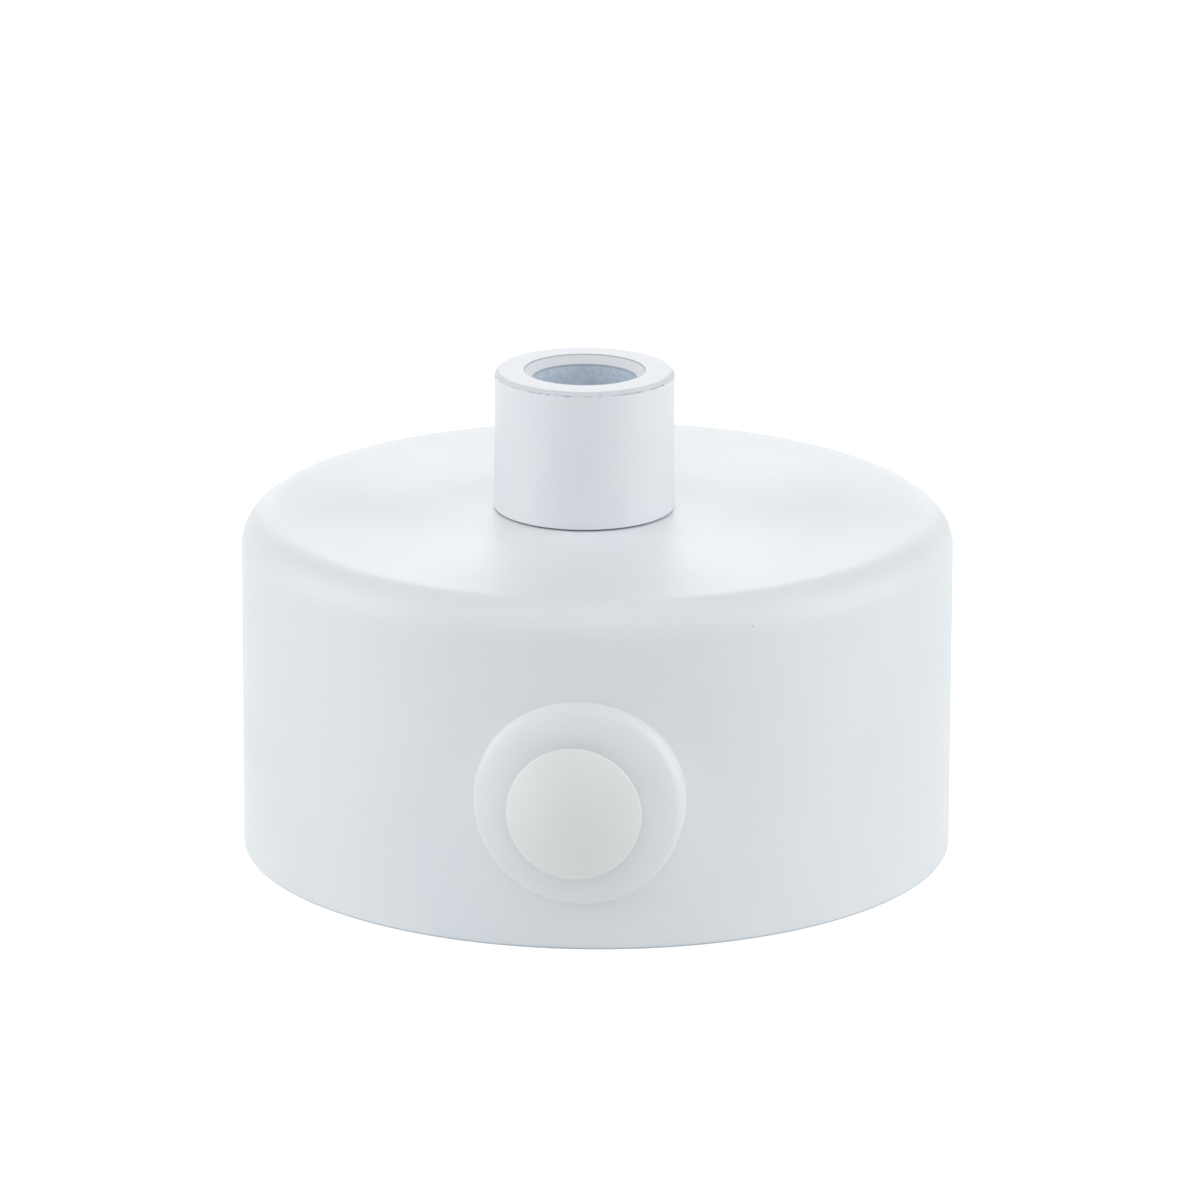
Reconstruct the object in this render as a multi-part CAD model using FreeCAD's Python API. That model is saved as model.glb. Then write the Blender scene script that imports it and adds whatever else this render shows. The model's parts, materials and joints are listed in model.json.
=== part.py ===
import FreeCAD
import Part
import math
import os

# Round ceiling rose with a cable collar and a push switch, as separate pieces in millimetres.
# It stands on its open rim: +Z runs from the ceiling plane towards the collar and -Y towards
# the switch button. The origin is the middle of the ceiling plane.

Vector = FreeCAD.Vector

# Cup
cup_diameter = 80.0
cup_height = 38.75
cup_wall = 1.0
cup_shoulder_radius = 4.0
rim_round = 0.3
centre_hole_diameter = 14.0

# Clearances
seat_gap = 0.03
thread_gap = 0.03
slide_gap = 0.15

# Cable collar, which sits to one side in the oversize centre hole
collar_shift = -1.5
collar_diameter = 20.2
collar_height = 15.8
collar_bore_diameter = 11.5
collar_mouth_chamfer = 1.0
collar_edge_chamfer = 0.45
collar_foot_round = 0.15
collar_thread_depth = 7.0
collar_screw_drop = 5.5
gasket_diameter = 19.4
gasket_thickness = 0.2

# Hollow threaded nipple and what clamps it to the cup
nipple_diameter = 10.0
nipple_bore_diameter = 8.0
nipple_end_gap = 0.8
nipple_tail = 2.0
nipple_end_chamfer = 0.4
flat_washer_diameter = 24.0
flat_washer_thickness = 1.2
tooth_washer_diameter = 17.0
tooth_washer_thickness = 0.6
tooth_count = 10
tooth_depth = 1.5
tooth_gap_width = 1.6
nipple_nut_across_flats = 14.0
nipple_nut_thickness = 3.5
nipple_nut_chamfer = 0.4

# Mounting bracket and its screws
bracket_width = 20.0
bracket_thickness = 1.5
bracket_bend_radius = 1.0
bracket_tab_width = 17.0
bracket_tab_height = 14.0
bracket_wall_gap = 0.4
slot_spacing = 42.0
slot_length = 12.0
slot_width = 4.5
side_screw_height = 8.0
side_screw_back = 5.0
side_screw_hole_diameter = 4.4
screw_recess = 0.2
set_screw_diameter = 4.0
set_screw_length = 5.0
set_screw_slot_width = 0.7
set_screw_slot_depth = 1.1
set_screw_point = 0.8
earth_screw_inset = 7.7
earth_screw_diameter = 3.5
earth_head_diameter = 6.4
earth_head_height = 2.2
earth_washer_diameter = 6.8
earth_washer_thickness = 1.0
floor_gap = 0.1
head_slot_width = 0.9

# Terminal block
pole_count = 3
pole_spacing = 9.5
block_depth = 16.0
block_base_height = 4.0
block_height = 12.5
pole_width = 8.1
block_corner_radius = 0.8
clamp_side = 4.4
clamp_opening = 3.0
clamp_height = 6.2
clamp_length = 13.0
wire_mouth_side = 3.4
clamp_screw_spacing = 7.0
clamp_screw_diameter = 2.6
clamp_screw_head_diameter = 3.0
clamp_screw_head_height = 1.6
screw_well_diameter = 3.4
block_screw_diameter = 2.5
block_screw_head_diameter = 3.8
block_screw_head_height = 1.4

# Push switch; it faces the front from a hole beside the cup's middle plane
switch_height = 16.8
switch_offset = 3.0
bezel_diameter = 23.1
bezel_edge = 0.6
bezel_rise = 1.75
bezel_bulge = 0.25
bezel_land = 0.25
bezel_edge_round = 1.6
barrel_diameter = 18.0
barrel_wall = 1.0
button_diameter = 14.8
button_body_diameter = 13.4
button_cap_edge = 0.3
button_proud = 1.6
button_dome = 2.5
button_edge_round = 0.3
button_travel = 1.2
button_wall = 1.5
button_lip = 0.45
button_lip_height = 1.7
neck_length = 4.4
switch_depth = 19.0
guide_thickness = 1.3
base_flange = 1.5
base_floor = 2.0
base_wall = 1.2
base_round = 0.4
stem_diameter = 3.4
stem_neck_diameter = 2.0
stem_head_diameter = 3.2
stem_head_height = 0.7
bridge_length = 10.8
bridge_width = 4.0
bridge_thickness = 0.8
bridge_drop = 2.9
contact_gap = 0.1
contact_thickness = 0.8
contact_width = 4.0
contact_spacing = 9.2
contact_pad = 2.6
tag_length = 6.0
tag_hole_diameter = 1.6
tag_hole_inset = 2.1
spring_diameter = 10.0
spring_wire = 0.7
spring_turns = 4
switch_nut_across_flats = 22.0
switch_nut_thickness = 3.0
switch_nut_chamfer = 0.6

# Worked out from the sizes above
cup_radius = cup_diameter / 2
cup_inner_radius = cup_radius - cup_wall
cup_ceiling = cup_height - cup_wall
collar_foot = cup_height + gasket_thickness
collar_top = collar_foot + collar_height
collar_screw_height = collar_top - collar_screw_drop
nipple_top = collar_foot + collar_thread_depth - nipple_end_gap
washer_bottom = cup_ceiling - flat_washer_thickness
tooth_washer_bottom = washer_bottom - tooth_washer_thickness
nipple_nut_bottom = tooth_washer_bottom - nipple_nut_thickness
nipple_bottom = nipple_nut_bottom - nipple_tail
tab_face = math.sqrt((cup_inner_radius - bracket_wall_gap) ** 2 - (bracket_tab_width / 2) ** 2)
set_screw_end = math.sqrt(cup_radius ** 2 - (side_screw_back + set_screw_diameter / 2) ** 2) - screw_recess
earth_screw_offset = cup_inner_radius - earth_screw_inset
block_bottom = bracket_thickness
block_top = block_bottom + block_height
block_length = (pole_count - 1) * pole_spacing + pole_width
clamp_bottom = block_bottom + block_base_height - clamp_side / 2
clamp_axis_height = clamp_bottom + clamp_side / 2
crown_top = cup_radius + bezel_edge + bezel_rise
button_rim = crown_top + button_proud
button_top = button_rim + button_dome
cap_bottom = button_rim - button_cap_edge
bezel_radius = bezel_diameter / 2
barrel_radius = barrel_diameter / 2
neck_radius = button_body_diameter / 2 + slide_gap
cavity_radius = barrel_radius - barrel_wall
neck_end = crown_top - neck_length
lip_top = neck_end - slide_gap
lip_bottom = lip_top - button_lip_height
guide_top = lip_bottom - button_travel - slide_gap
guide_bottom = guide_top - guide_thickness
barrel_end = cup_radius - switch_depth
base_radius = cavity_radius - slide_gap
base_floor_top = barrel_end + base_floor
bridge_bottom = guide_bottom - bridge_drop - bridge_thickness
contact_top = bridge_bottom - button_travel - contact_gap
tag_end = barrel_end - base_flange - tag_length
button_roof = button_rim - button_wall


def cylinder(radius, length, at, along=Vector(0, 0, 1)):
    """Solid cylinder from a point, along a direction."""
    return Part.makeCylinder(radius, length, at, along)


def block(x_size, y_size, z_size, middle_x, middle_y, bottom):
    """Box placed by the middle of its foot."""
    corner = Vector(middle_x - x_size / 2, middle_y - y_size / 2, bottom)
    return Part.makeBox(x_size, y_size, z_size, corner)


def hexagon(across_flats, height, at):
    """Hexagonal prism with flats square to X."""
    corner_radius = across_flats / 2 / math.cos(math.pi / 6)
    corners = []
    for step in range(7):
        angle = math.pi / 6 + step * math.pi / 3
        corners.append(at + Vector(corner_radius * math.cos(angle), corner_radius * math.sin(angle), 0))
    return Part.Face(Part.makePolygon(corners)).extrude(Vector(0, 0, height))


def rounded_wire(corners):
    """Closed wire in the XZ plane from (x, z, corner radius), its corners turned into tangent arcs."""
    count = len(corners)
    stretches = []
    for index in range(count):
        x, z, radius = corners[index]
        here = Vector(x, 0, z)
        before = Vector(corners[index - 1][0], 0, corners[index - 1][1])
        after = Vector(corners[(index + 1) % count][0], 0, corners[(index + 1) % count][1])
        if radius <= 0:
            stretches.append((here, None, here))
            continue
        towards_before = (before - here).normalize()
        towards_after = (after - here).normalize()
        half_angle = towards_before.getAngle(towards_after) / 2
        trim = radius / math.tan(half_angle)
        start = here + towards_before * trim
        end = here + towards_after * trim
        middle_line = (towards_before + towards_after).normalize()
        middle = here + middle_line * (radius / math.sin(half_angle) - radius)
        stretches.append((start, middle, end))
    edges = []
    for index in range(count):
        start, middle, end = stretches[index]
        if middle is not None:
            edges.append(Part.Arc(start, middle, end).toShape())
        next_start = stretches[(index + 1) % count][0]
        if end.distanceToPoint(next_start) > 1e-6:
            edges.append(Part.LineSegment(end, next_start).toShape())
    return Part.Wire(edges)


def turned(corners):
    """Solid of revolution about Z from (radius, height, corner radius)."""
    face = Part.Face(rounded_wire(corners))
    return face.revolve(Vector(0, 0, 0), Vector(0, 0, 1), 360)


def chamfered_nut(across_flats, thickness, bore_radius, chamfer):
    """Hexagonal nut on Z = 0 with both faces turned down at the corners."""
    prism = hexagon(across_flats, thickness, Vector(0, 0, 0))
    flat_radius = across_flats / 2
    slope_run = flat_radius / math.cos(math.pi / 6) - flat_radius + chamfer
    slope_drop = slope_run * math.tan(math.pi / 6)
    envelope = turned([
        (0, 0, 0),
        (flat_radius, 0, 0),
        (flat_radius + slope_run, slope_drop, 0),
        (flat_radius + slope_run, thickness - slope_drop, 0),
        (flat_radius, thickness, 0),
        (0, thickness, 0),
    ])
    return prism.common(envelope).cut(cylinder(bore_radius, thickness, Vector(0, 0, 0)))


def slotted_set_screw(length):
    """Headless screw along Z: its slotted end at the top, its point at Z = 0."""
    radius = set_screw_diameter / 2
    body = turned([
        (0, 0, 0),
        (radius - set_screw_point, 0, 0),
        (radius, set_screw_point, 0),
        (radius, length, 0),
        (0, length, 0),
    ])
    slot = block(set_screw_diameter * 2, set_screw_slot_width, set_screw_slot_depth,
                 0, 0, length - set_screw_slot_depth)
    return body.cut(slot)


def headed_screw(shank_radius, shank_length, head_radius, head_height):
    """Cheese-head screw along Z: the head's seat on Z = 0, the shank below it."""
    head = turned([
        (0, 0, 0),
        (head_radius, 0, 0),
        (head_radius, head_height, head_height / 3),
        (0, head_height, 0),
    ])
    shank = cylinder(shank_radius, shank_length, Vector(0, 0, -shank_length))
    slot = block(head_radius * 3, head_slot_width, head_height, 0, 0, head_height / 2)
    return head.fuse(shank).removeSplitter().cut(slot)


def on_collar_axis(shape):
    """Moves a piece made on Z to the axis of the collar."""
    shape.translate(Vector(collar_shift, 0, 0))
    return shape


def on_switch_axis(shape):
    """Turns a piece made along Z to run outwards to the front on the switch's axis."""
    shape.rotate(Vector(0, 0, 0), Vector(1, 0, 0), 90)
    shape.translate(Vector(switch_offset, 0, switch_height))
    return shape


def rose_cup():
    inner_shoulder = max(cup_shoulder_radius - cup_wall, 0.5)
    shell = turned([
        (0, cup_ceiling, 0),
        (cup_inner_radius, cup_ceiling, inner_shoulder),
        (cup_inner_radius, 0, rim_round),
        (cup_radius, 0, rim_round),
        (cup_radius, cup_height, cup_shoulder_radius),
        (0, cup_height, 0),
    ])
    centre_hole = cylinder(centre_hole_diameter / 2, cup_wall * 3, Vector(0, 0, cup_ceiling - cup_wall))
    switch_hole = on_switch_axis(cylinder(barrel_radius + slide_gap, cup_radius, Vector(0, 0, 0)))
    side_hole = cylinder(side_screw_hole_diameter / 2, cup_diameter + 2,
                         Vector(-cup_radius - 1, side_screw_back, side_screw_height), Vector(1, 0, 0))
    return shell.cut([centre_hole, switch_hole, side_hole])


def collar_gasket():
    inner_radius = nipple_diameter / 2 + slide_gap
    return on_collar_axis(turned([
        (inner_radius, cup_height, 0),
        (gasket_diameter / 2, cup_height, 0),
        (gasket_diameter / 2, collar_foot, 0),
        (inner_radius, collar_foot, 0),
    ]))


def collar():
    outer_radius = collar_diameter / 2
    bore_radius = collar_bore_diameter / 2
    thread_radius = nipple_diameter / 2 + thread_gap
    thread_top = collar_foot + collar_thread_depth
    sleeve = turned([
        (thread_radius, collar_foot, 0),
        (outer_radius, collar_foot, collar_foot_round),
        (outer_radius, collar_top - collar_edge_chamfer, 0),
        (outer_radius - collar_edge_chamfer, collar_top, 0),
        (bore_radius + collar_mouth_chamfer, collar_top, 0),
        (bore_radius, collar_top - collar_mouth_chamfer, 0),
        (bore_radius, thread_top, 0),
        (thread_radius, thread_top, 0),
    ])
    screw_hole = cylinder(set_screw_diameter / 2 + thread_gap, outer_radius + 1,
                          Vector(0, 0, collar_screw_height), Vector(0, 1, 0))
    return on_collar_axis(sleeve.cut(screw_hole))


def collar_screw():
    """Cord-clamp set screw at the back of the collar, flush with it."""
    length = collar_diameter / 2 - collar_bore_diameter / 2 - screw_recess
    screw = slotted_set_screw(length)
    screw.rotate(Vector(0, 0, 0), Vector(1, 0, 0), -90)
    screw.translate(Vector(0, collar_bore_diameter / 2, collar_screw_height))
    return on_collar_axis(screw)


def threaded_nipple():
    outer_radius = nipple_diameter / 2
    bore_radius = nipple_bore_diameter / 2
    lead = min(nipple_end_chamfer, (outer_radius - bore_radius) / 2)
    return on_collar_axis(turned([
        (bore_radius, nipple_bottom, 0),
        (outer_radius - lead, nipple_bottom, 0),
        (outer_radius, nipple_bottom + lead, 0),
        (outer_radius, nipple_top - lead, 0),
        (outer_radius - lead, nipple_top, 0),
        (bore_radius, nipple_top, 0),
    ]))


def flat_washer():
    inner_radius = nipple_diameter / 2 + slide_gap
    return on_collar_axis(turned([
        (inner_radius, washer_bottom, 0),
        (flat_washer_diameter / 2, washer_bottom, 0),
        (flat_washer_diameter / 2, cup_ceiling, 0),
        (inner_radius, cup_ceiling, 0),
    ]))


def tooth_washer():
    """Lock washer with teeth cut into its rim."""
    outer_radius = tooth_washer_diameter / 2
    washer = cylinder(outer_radius, tooth_washer_thickness, Vector(0, 0, tooth_washer_bottom))
    hole_radius = nipple_diameter / 2 + slide_gap
    cuts = [cylinder(hole_radius, tooth_washer_thickness, Vector(0, 0, tooth_washer_bottom))]
    for index in range(tooth_count):
        notch = block(tooth_depth * 2, tooth_gap_width, tooth_washer_thickness,
                      outer_radius, 0, tooth_washer_bottom)
        notch.rotate(Vector(0, 0, 0), Vector(0, 0, 1), 360 * index / tooth_count)
        cuts.append(notch)
    return on_collar_axis(washer.cut(cuts))


def nipple_nut():
    nut = chamfered_nut(nipple_nut_across_flats, nipple_nut_thickness,
                        nipple_diameter / 2 + thread_gap, nipple_nut_chamfer)
    nut.translate(Vector(0, 0, nipple_nut_bottom))
    return on_collar_axis(nut)


def bracket_section():
    """Side view of the bent strip: a flat web with a tab turned up at each end."""
    inside = bracket_bend_radius
    outside = bracket_bend_radius + bracket_thickness
    inner_face = tab_face - bracket_thickness
    wire = rounded_wire([
        (-tab_face, 0, outside),
        (tab_face, 0, outside),
        (tab_face, bracket_tab_height, 0),
        (inner_face, bracket_tab_height, 0),
        (inner_face, bracket_thickness, inside),
        (-inner_face, bracket_thickness, inside),
        (-inner_face, bracket_tab_height, 0),
        (-tab_face, bracket_tab_height, 0),
    ])
    return Part.Face(wire)


def slot_cutter(middle_x):
    """Tool for one long fixing slot through the web."""
    straight = slot_length - slot_width
    radius = slot_width / 2
    left = cylinder(radius, bracket_thickness * 3, Vector(middle_x - straight / 2, 0, -bracket_thickness))
    right = cylinder(radius, bracket_thickness * 3, Vector(middle_x + straight / 2, 0, -bracket_thickness))
    between = block(straight, slot_width, bracket_thickness * 3, middle_x, 0, -bracket_thickness)
    return left.fuse(right).fuse(between).removeSplitter()


def mounting_bracket():
    strip = bracket_section().extrude(Vector(0, bracket_width, 0))
    strip.translate(Vector(0, -bracket_width / 2, 0))
    trim_length = bracket_bend_radius + bracket_thickness
    for side in (-1, 1):
        for edge in (-1, 1):
            corner = block(trim_length * 2, bracket_width, bracket_tab_height * 2,
                           side * tab_face, edge * (bracket_width + bracket_tab_width) / 2, -1)
            strip = strip.cut(corner)
        strip = strip.cut(slot_cutter(side * slot_spacing / 2))
        tapped = cylinder(set_screw_diameter / 2 + thread_gap, bracket_thickness * 4,
                          Vector(side * (tab_face - bracket_thickness * 2), side_screw_back, side_screw_height),
                          Vector(side, 0, 0))
        strip = strip.cut(tapped)
    holes = [cylinder(earth_screw_diameter / 2 + thread_gap, bracket_thickness * 3,
                      Vector(earth_screw_offset, 0, -bracket_thickness))]
    for x in block_screw_places():
        holes.append(cylinder(block_screw_diameter / 2 + thread_gap, bracket_thickness * 3,
                              Vector(x, 0, -bracket_thickness)))
    return strip.cut(holes)


def side_screw(side):
    """Set screw in a bracket tab that reaches out into the cup's side hole."""
    screw = slotted_set_screw(set_screw_length)
    screw.rotate(Vector(0, 0, 0), Vector(0, 1, 0), 90 * side)
    screw.translate(Vector(side * (set_screw_end - set_screw_length), side_screw_back, side_screw_height))
    return screw


def earth_screw():
    seat = bracket_thickness + earth_washer_thickness
    screw = headed_screw(earth_screw_diameter / 2, seat - floor_gap,
                         earth_head_diameter / 2, earth_head_height)
    screw.translate(Vector(earth_screw_offset, 0, seat))
    return screw


def earth_washer():
    """Square clamp washer under the earth screw's head."""
    washer = block(earth_washer_diameter, earth_washer_diameter, earth_washer_thickness,
                   earth_screw_offset, 0, bracket_thickness)
    hole = cylinder(earth_screw_diameter / 2 + slide_gap, earth_washer_thickness,
                    Vector(earth_screw_offset, 0, bracket_thickness))
    return washer.cut(hole)


def pole_places():
    return [(index - (pole_count - 1) / 2) * pole_spacing for index in range(pole_count)]


def block_screw_places():
    """Between the first two poles and between the last two."""
    places = pole_places()
    return [(places[0] + places[1]) / 2, (places[-2] + places[-1]) / 2]


def clamp_screw_places():
    places = []
    for x in pole_places():
        for y in (-clamp_screw_spacing / 2, clamp_screw_spacing / 2):
            places.append((x, y))
    return places


def terminal_block():
    """Moulded strip: a low base with one tall pole housing for each clamp."""
    base = block(block_length, block_depth, block_base_height, 0, 0, block_bottom)
    for x in pole_places():
        pole = block(pole_width, block_depth, block_height, x, 0, block_bottom)
        tops = [edge for edge in pole.Edges if edge.BoundBox.ZMin > block_top - 0.01]
        base = base.fuse(pole.makeFillet(block_corner_radius, tops))
    body = base.removeSplitter()
    cuts = []
    room = clamp_side + 2 * seat_gap
    for x in pole_places():
        cuts.append(block(room, clamp_length + 2 * seat_gap, clamp_height + 2 * seat_gap,
                          x, 0, clamp_bottom - seat_gap))
        cuts.append(block(wire_mouth_side, block_depth + 2, wire_mouth_side,
                          x, 0, clamp_axis_height - wire_mouth_side / 2))
    for x, y in clamp_screw_places():
        cuts.append(cylinder(screw_well_diameter / 2, block_height, Vector(x, y, clamp_axis_height)))
    for x in block_screw_places():
        cuts.append(cylinder(block_screw_diameter / 2 + slide_gap, block_height * 2,
                             Vector(x, 0, block_bottom - 1)))
        cuts.append(cylinder(block_screw_head_diameter / 2 + slide_gap, block_height,
                             Vector(x, 0, block_bottom + block_base_height)))
    return body.cut(cuts)


def wire_clamp(x):
    """Brass cage with a square way through it and two tapped holes on top."""
    cage = block(clamp_side, clamp_length, clamp_height, x, 0, clamp_bottom)
    wall = (clamp_side - clamp_opening) / 2
    cuts = [block(clamp_opening, clamp_length + 2, clamp_opening, x, 0, clamp_bottom + wall)]
    for screw_x, screw_y in clamp_screw_places():
        if abs(screw_x - x) < pole_spacing / 2:
            cuts.append(cylinder(clamp_screw_diameter / 2 + thread_gap, clamp_height,
                                 Vector(screw_x, screw_y, clamp_axis_height)))
    return cage.cut(cuts)


def clamp_screws():
    """One slotted screw in each tapped hole of the clamps, backed out to take a wire."""
    seat = clamp_bottom + clamp_height + seat_gap
    shank = clamp_height - (clamp_side - clamp_opening) / 2 - clamp_opening + seat_gap
    screws = []
    for x, y in clamp_screw_places():
        screw = headed_screw(clamp_screw_diameter / 2, shank,
                             clamp_screw_head_diameter / 2, clamp_screw_head_height)
        screw.translate(Vector(x, y, seat))
        screws.append(screw)
    return Part.makeCompound(screws)


def block_screws():
    """Screws that hold the terminal strip down on the bracket."""
    seat = block_bottom + block_base_height
    screws = []
    for x in block_screw_places():
        screw = headed_screw(block_screw_diameter / 2, seat - floor_gap,
                             block_screw_head_diameter / 2, block_screw_head_height)
        screw.translate(Vector(x, 0, seat))
        screws.append(screw)
    return Part.makeCompound(screws)


def switch_housing():
    """Moulded bezel and threaded barrel in one piece; the back of the bezel follows the cup's wall."""
    land_radius = neck_radius + bezel_land
    crown_slope = math.atan2(bezel_rise, bezel_radius - land_radius)
    crown_middle = Vector((land_radius + bezel_radius) / 2 + bezel_bulge * math.sin(crown_slope), 0,
                          crown_top - bezel_rise / 2 + bezel_bulge * math.cos(crown_slope))
    foot = math.sqrt(cup_radius ** 2 - (abs(switch_offset) + bezel_radius) ** 2) - cup_wall
    edge_top = crown_top - bezel_rise
    edges = [
        Part.LineSegment(Vector(0, 0, foot), Vector(bezel_radius, 0, foot)),
        Part.LineSegment(Vector(bezel_radius, 0, foot), Vector(bezel_radius, 0, edge_top)),
        Part.Arc(Vector(bezel_radius, 0, edge_top), crown_middle, Vector(land_radius, 0, crown_top)),
        Part.LineSegment(Vector(land_radius, 0, crown_top), Vector(0, 0, crown_top)),
        Part.LineSegment(Vector(0, 0, crown_top), Vector(0, 0, foot)),
    ]
    wire = Part.Wire([edge.toShape() for edge in edges])
    bezel = Part.Face(wire).revolve(Vector(0, 0, 0), Vector(0, 0, 1), 360)
    rim = [edge for edge in bezel.Edges
           if abs(edge.BoundBox.ZMax - edge_top) < 0.001 and edge.BoundBox.ZLength < 0.001
           and edge.BoundBox.XMax > bezel_radius - 0.001]
    bezel = bezel.makeFillet(bezel_edge_round, rim)
    wall = cylinder(cup_radius + seat_gap, cup_height * 3, Vector(-switch_offset, -cup_height * 1.5, 0),
                    Vector(0, 1, 0))
    bezel = bezel.cut(wall)
    barrel = cylinder(barrel_radius, cup_radius + bezel_edge / 2 - barrel_end, Vector(0, 0, barrel_end))
    housing = bezel.fuse(barrel).removeSplitter()
    neck = cylinder(neck_radius, crown_top - barrel_end, Vector(0, 0, barrel_end))
    cavity = cylinder(cavity_radius, neck_end - barrel_end, Vector(0, 0, barrel_end))
    return on_switch_axis(housing.cut([neck, cavity]))


def switch_nut():
    """Nut behind the wall; the side of its face that is further out meets the curved wall."""
    nut = chamfered_nut(switch_nut_across_flats, switch_nut_thickness,
                        barrel_radius + thread_gap, switch_nut_chamfer)
    reach = abs(switch_offset) + switch_nut_across_flats / 2
    face = math.sqrt(cup_inner_radius ** 2 - reach ** 2) - seat_gap
    nut.translate(Vector(0, 0, face - switch_nut_thickness))
    return on_switch_axis(nut)


def push_button():
    """Hollow button with a wider domed cap and a snap-in lip that keeps it in the barrel."""
    radius = button_diameter / 2
    body_radius = button_body_diameter / 2
    dome_radius = (radius ** 2 + button_dome ** 2) / (2 * button_dome)
    blank = cylinder(radius, button_top - cap_bottom, Vector(0, 0, cap_bottom))
    dome = Part.makeSphere(dome_radius, Vector(0, 0, button_top - dome_radius))
    below = cylinder(dome_radius * 2, dome_radius * 2, Vector(0, 0, button_rim - dome_radius * 2))
    cap = blank.common(dome.fuse(below))
    rim = [edge for edge in cap.Edges
           if abs(edge.BoundBox.ZMax - button_rim) < 0.01 and edge.BoundBox.ZLength < 0.01
           and edge.BoundBox.XMax > radius - 0.01]
    cap = cap.makeFillet(button_edge_round, rim)
    body = cylinder(body_radius, cap_bottom - lip_bottom, Vector(0, 0, lip_bottom))
    lip = cylinder(body_radius + button_lip, button_lip_height, Vector(0, 0, lip_bottom))
    hollow = cylinder(body_radius - button_wall, button_roof - lip_bottom, Vector(0, 0, lip_bottom))
    return on_switch_axis(cap.fuse([body, lip]).removeSplitter().cut(hollow))


def switch_plunger():
    """Stem from the button's roof down to the moving contact, which it holds between two shoulders."""
    stem = stem_diameter / 2
    neck = stem_neck_diameter / 2
    head = stem_head_diameter / 2
    contact_upper = bridge_bottom + bridge_thickness + seat_gap
    contact_lower = bridge_bottom - seat_gap
    return on_switch_axis(turned([
        (0, button_roof, 0),
        (stem, button_roof, 0),
        (stem, contact_upper, 0),
        (neck, contact_upper, 0),
        (neck, contact_lower, 0),
        (head, contact_lower, 0),
        (head, contact_lower - stem_head_height, 0),
        (0, contact_lower - stem_head_height, 0),
    ]))


def contact_bridge():
    bar = block(bridge_length, bridge_width, bridge_thickness, 0, 0, bridge_bottom)
    hole = cylinder(stem_neck_diameter / 2 + seat_gap, bridge_thickness, Vector(0, 0, bridge_bottom))
    return on_switch_axis(bar.cut(hole))


def return_spring():
    """Compression spring between the guide plate and the button's roof."""
    bottom = guide_top + spring_wire / 2
    top = button_roof - spring_wire / 2
    turn_radius = (spring_diameter - spring_wire) / 2
    helix = Part.makeHelix((top - bottom) / spring_turns, top - bottom, turn_radius)
    section = Part.Wire([Part.Circle(Vector(turn_radius, 0, 0), Vector(0, 1, 0), spring_wire / 2).toShape()])
    wire = Part.Wire(helix.Edges).makePipeShell([section], True, True)
    wire.translate(Vector(0, 0, bottom))
    return on_switch_axis(wire)


def guide_plate():
    """Disc that guides the stem and carries the foot of the spring."""
    return on_switch_axis(turned([
        (stem_diameter / 2 + slide_gap, guide_bottom, 0),
        (base_radius, guide_bottom, 0),
        (base_radius, guide_top, 0),
        (stem_diameter / 2 + slide_gap, guide_top, 0),
    ]))


def contact_blade(side, gap):
    """Fixed contact as a bent strip, grown by a gap where it is used as a cutter."""
    x = side * contact_spacing / 2
    width = contact_width + 2 * gap
    thickness = contact_thickness + 2 * gap
    blade = block(thickness, width, contact_top - contact_thickness - tag_end, x, 0, tag_end)
    pad_length = contact_pad + contact_thickness
    pad = block(pad_length, width, contact_thickness, x - side * (pad_length - contact_thickness) / 2, 0,
                contact_top - contact_thickness)
    return blade.fuse(pad).removeSplitter()


def fixed_contact(side):
    tag_hole = cylinder(tag_hole_diameter / 2, contact_thickness * 4,
                        Vector(side * contact_spacing / 2 - contact_thickness * 2, 0, tag_end + tag_hole_inset),
                        Vector(1, 0, 0))
    return on_switch_axis(contact_blade(side, 0).cut(tag_hole))


def switch_base():
    """Cup-shaped rear moulding that closes the barrel and holds the fixed contacts."""
    flange_radius = barrel_radius - thread_gap
    inner_radius = base_radius - base_wall
    flange_bottom = barrel_end - base_flange
    cup = turned([
        (0, flange_bottom, 0),
        (flange_radius, flange_bottom, base_round),
        (flange_radius, barrel_end, 0),
        (base_radius, barrel_end, 0),
        (base_radius, guide_bottom, 0),
        (inner_radius, guide_bottom, 0),
        (inner_radius, base_floor_top, 0),
        (0, base_floor_top, 0),
    ])
    slots = [contact_blade(side, seat_gap) for side in (-1, 1)]
    return on_switch_axis(cup.cut(slots))


def pieces():
    """Every piece by its node name."""
    named = {
        "rose_cup": rose_cup(),
        "collar": collar(),
        "collar_gasket": collar_gasket(),
        "collar_screw": collar_screw(),
        "threaded_nipple": threaded_nipple(),
        "flat_washer": flat_washer(),
        "tooth_washer": tooth_washer(),
        "nipple_nut": nipple_nut(),
        "mounting_bracket": mounting_bracket(),
        "side_screw_left": side_screw(-1),
        "side_screw_right": side_screw(1),
        "earth_screw": earth_screw(),
        "earth_washer": earth_washer(),
        "terminal_block": terminal_block(),
        "clamp_screws": clamp_screws(),
        "block_screws": block_screws(),
        "switch_housing": switch_housing(),
        "switch_nut": switch_nut(),
        "push_button": push_button(),
        "switch_plunger": switch_plunger(),
        "contact_bridge": contact_bridge(),
        "return_spring": return_spring(),
        "guide_plate": guide_plate(),
        "fixed_contact_left": fixed_contact(-1),
        "fixed_contact_right": fixed_contact(1),
        "switch_base": switch_base(),
    }
    for number, x in enumerate(pole_places(), start=1):
        named["wire_clamp_" + str(number)] = wire_clamp(x)
    return named


def main():
    os.makedirs("parts", exist_ok=True)
    for name, shape in pieces().items():
        shape.exportStep("parts/" + name + ".step")


main()
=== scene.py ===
"""Ceiling rose with a cable collar and a push switch: the finished surfaces, the light and the camera.

The rose lies on its open rim on a white table, collar up, with the push switch towards the camera.
"""

import json
import math

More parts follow.
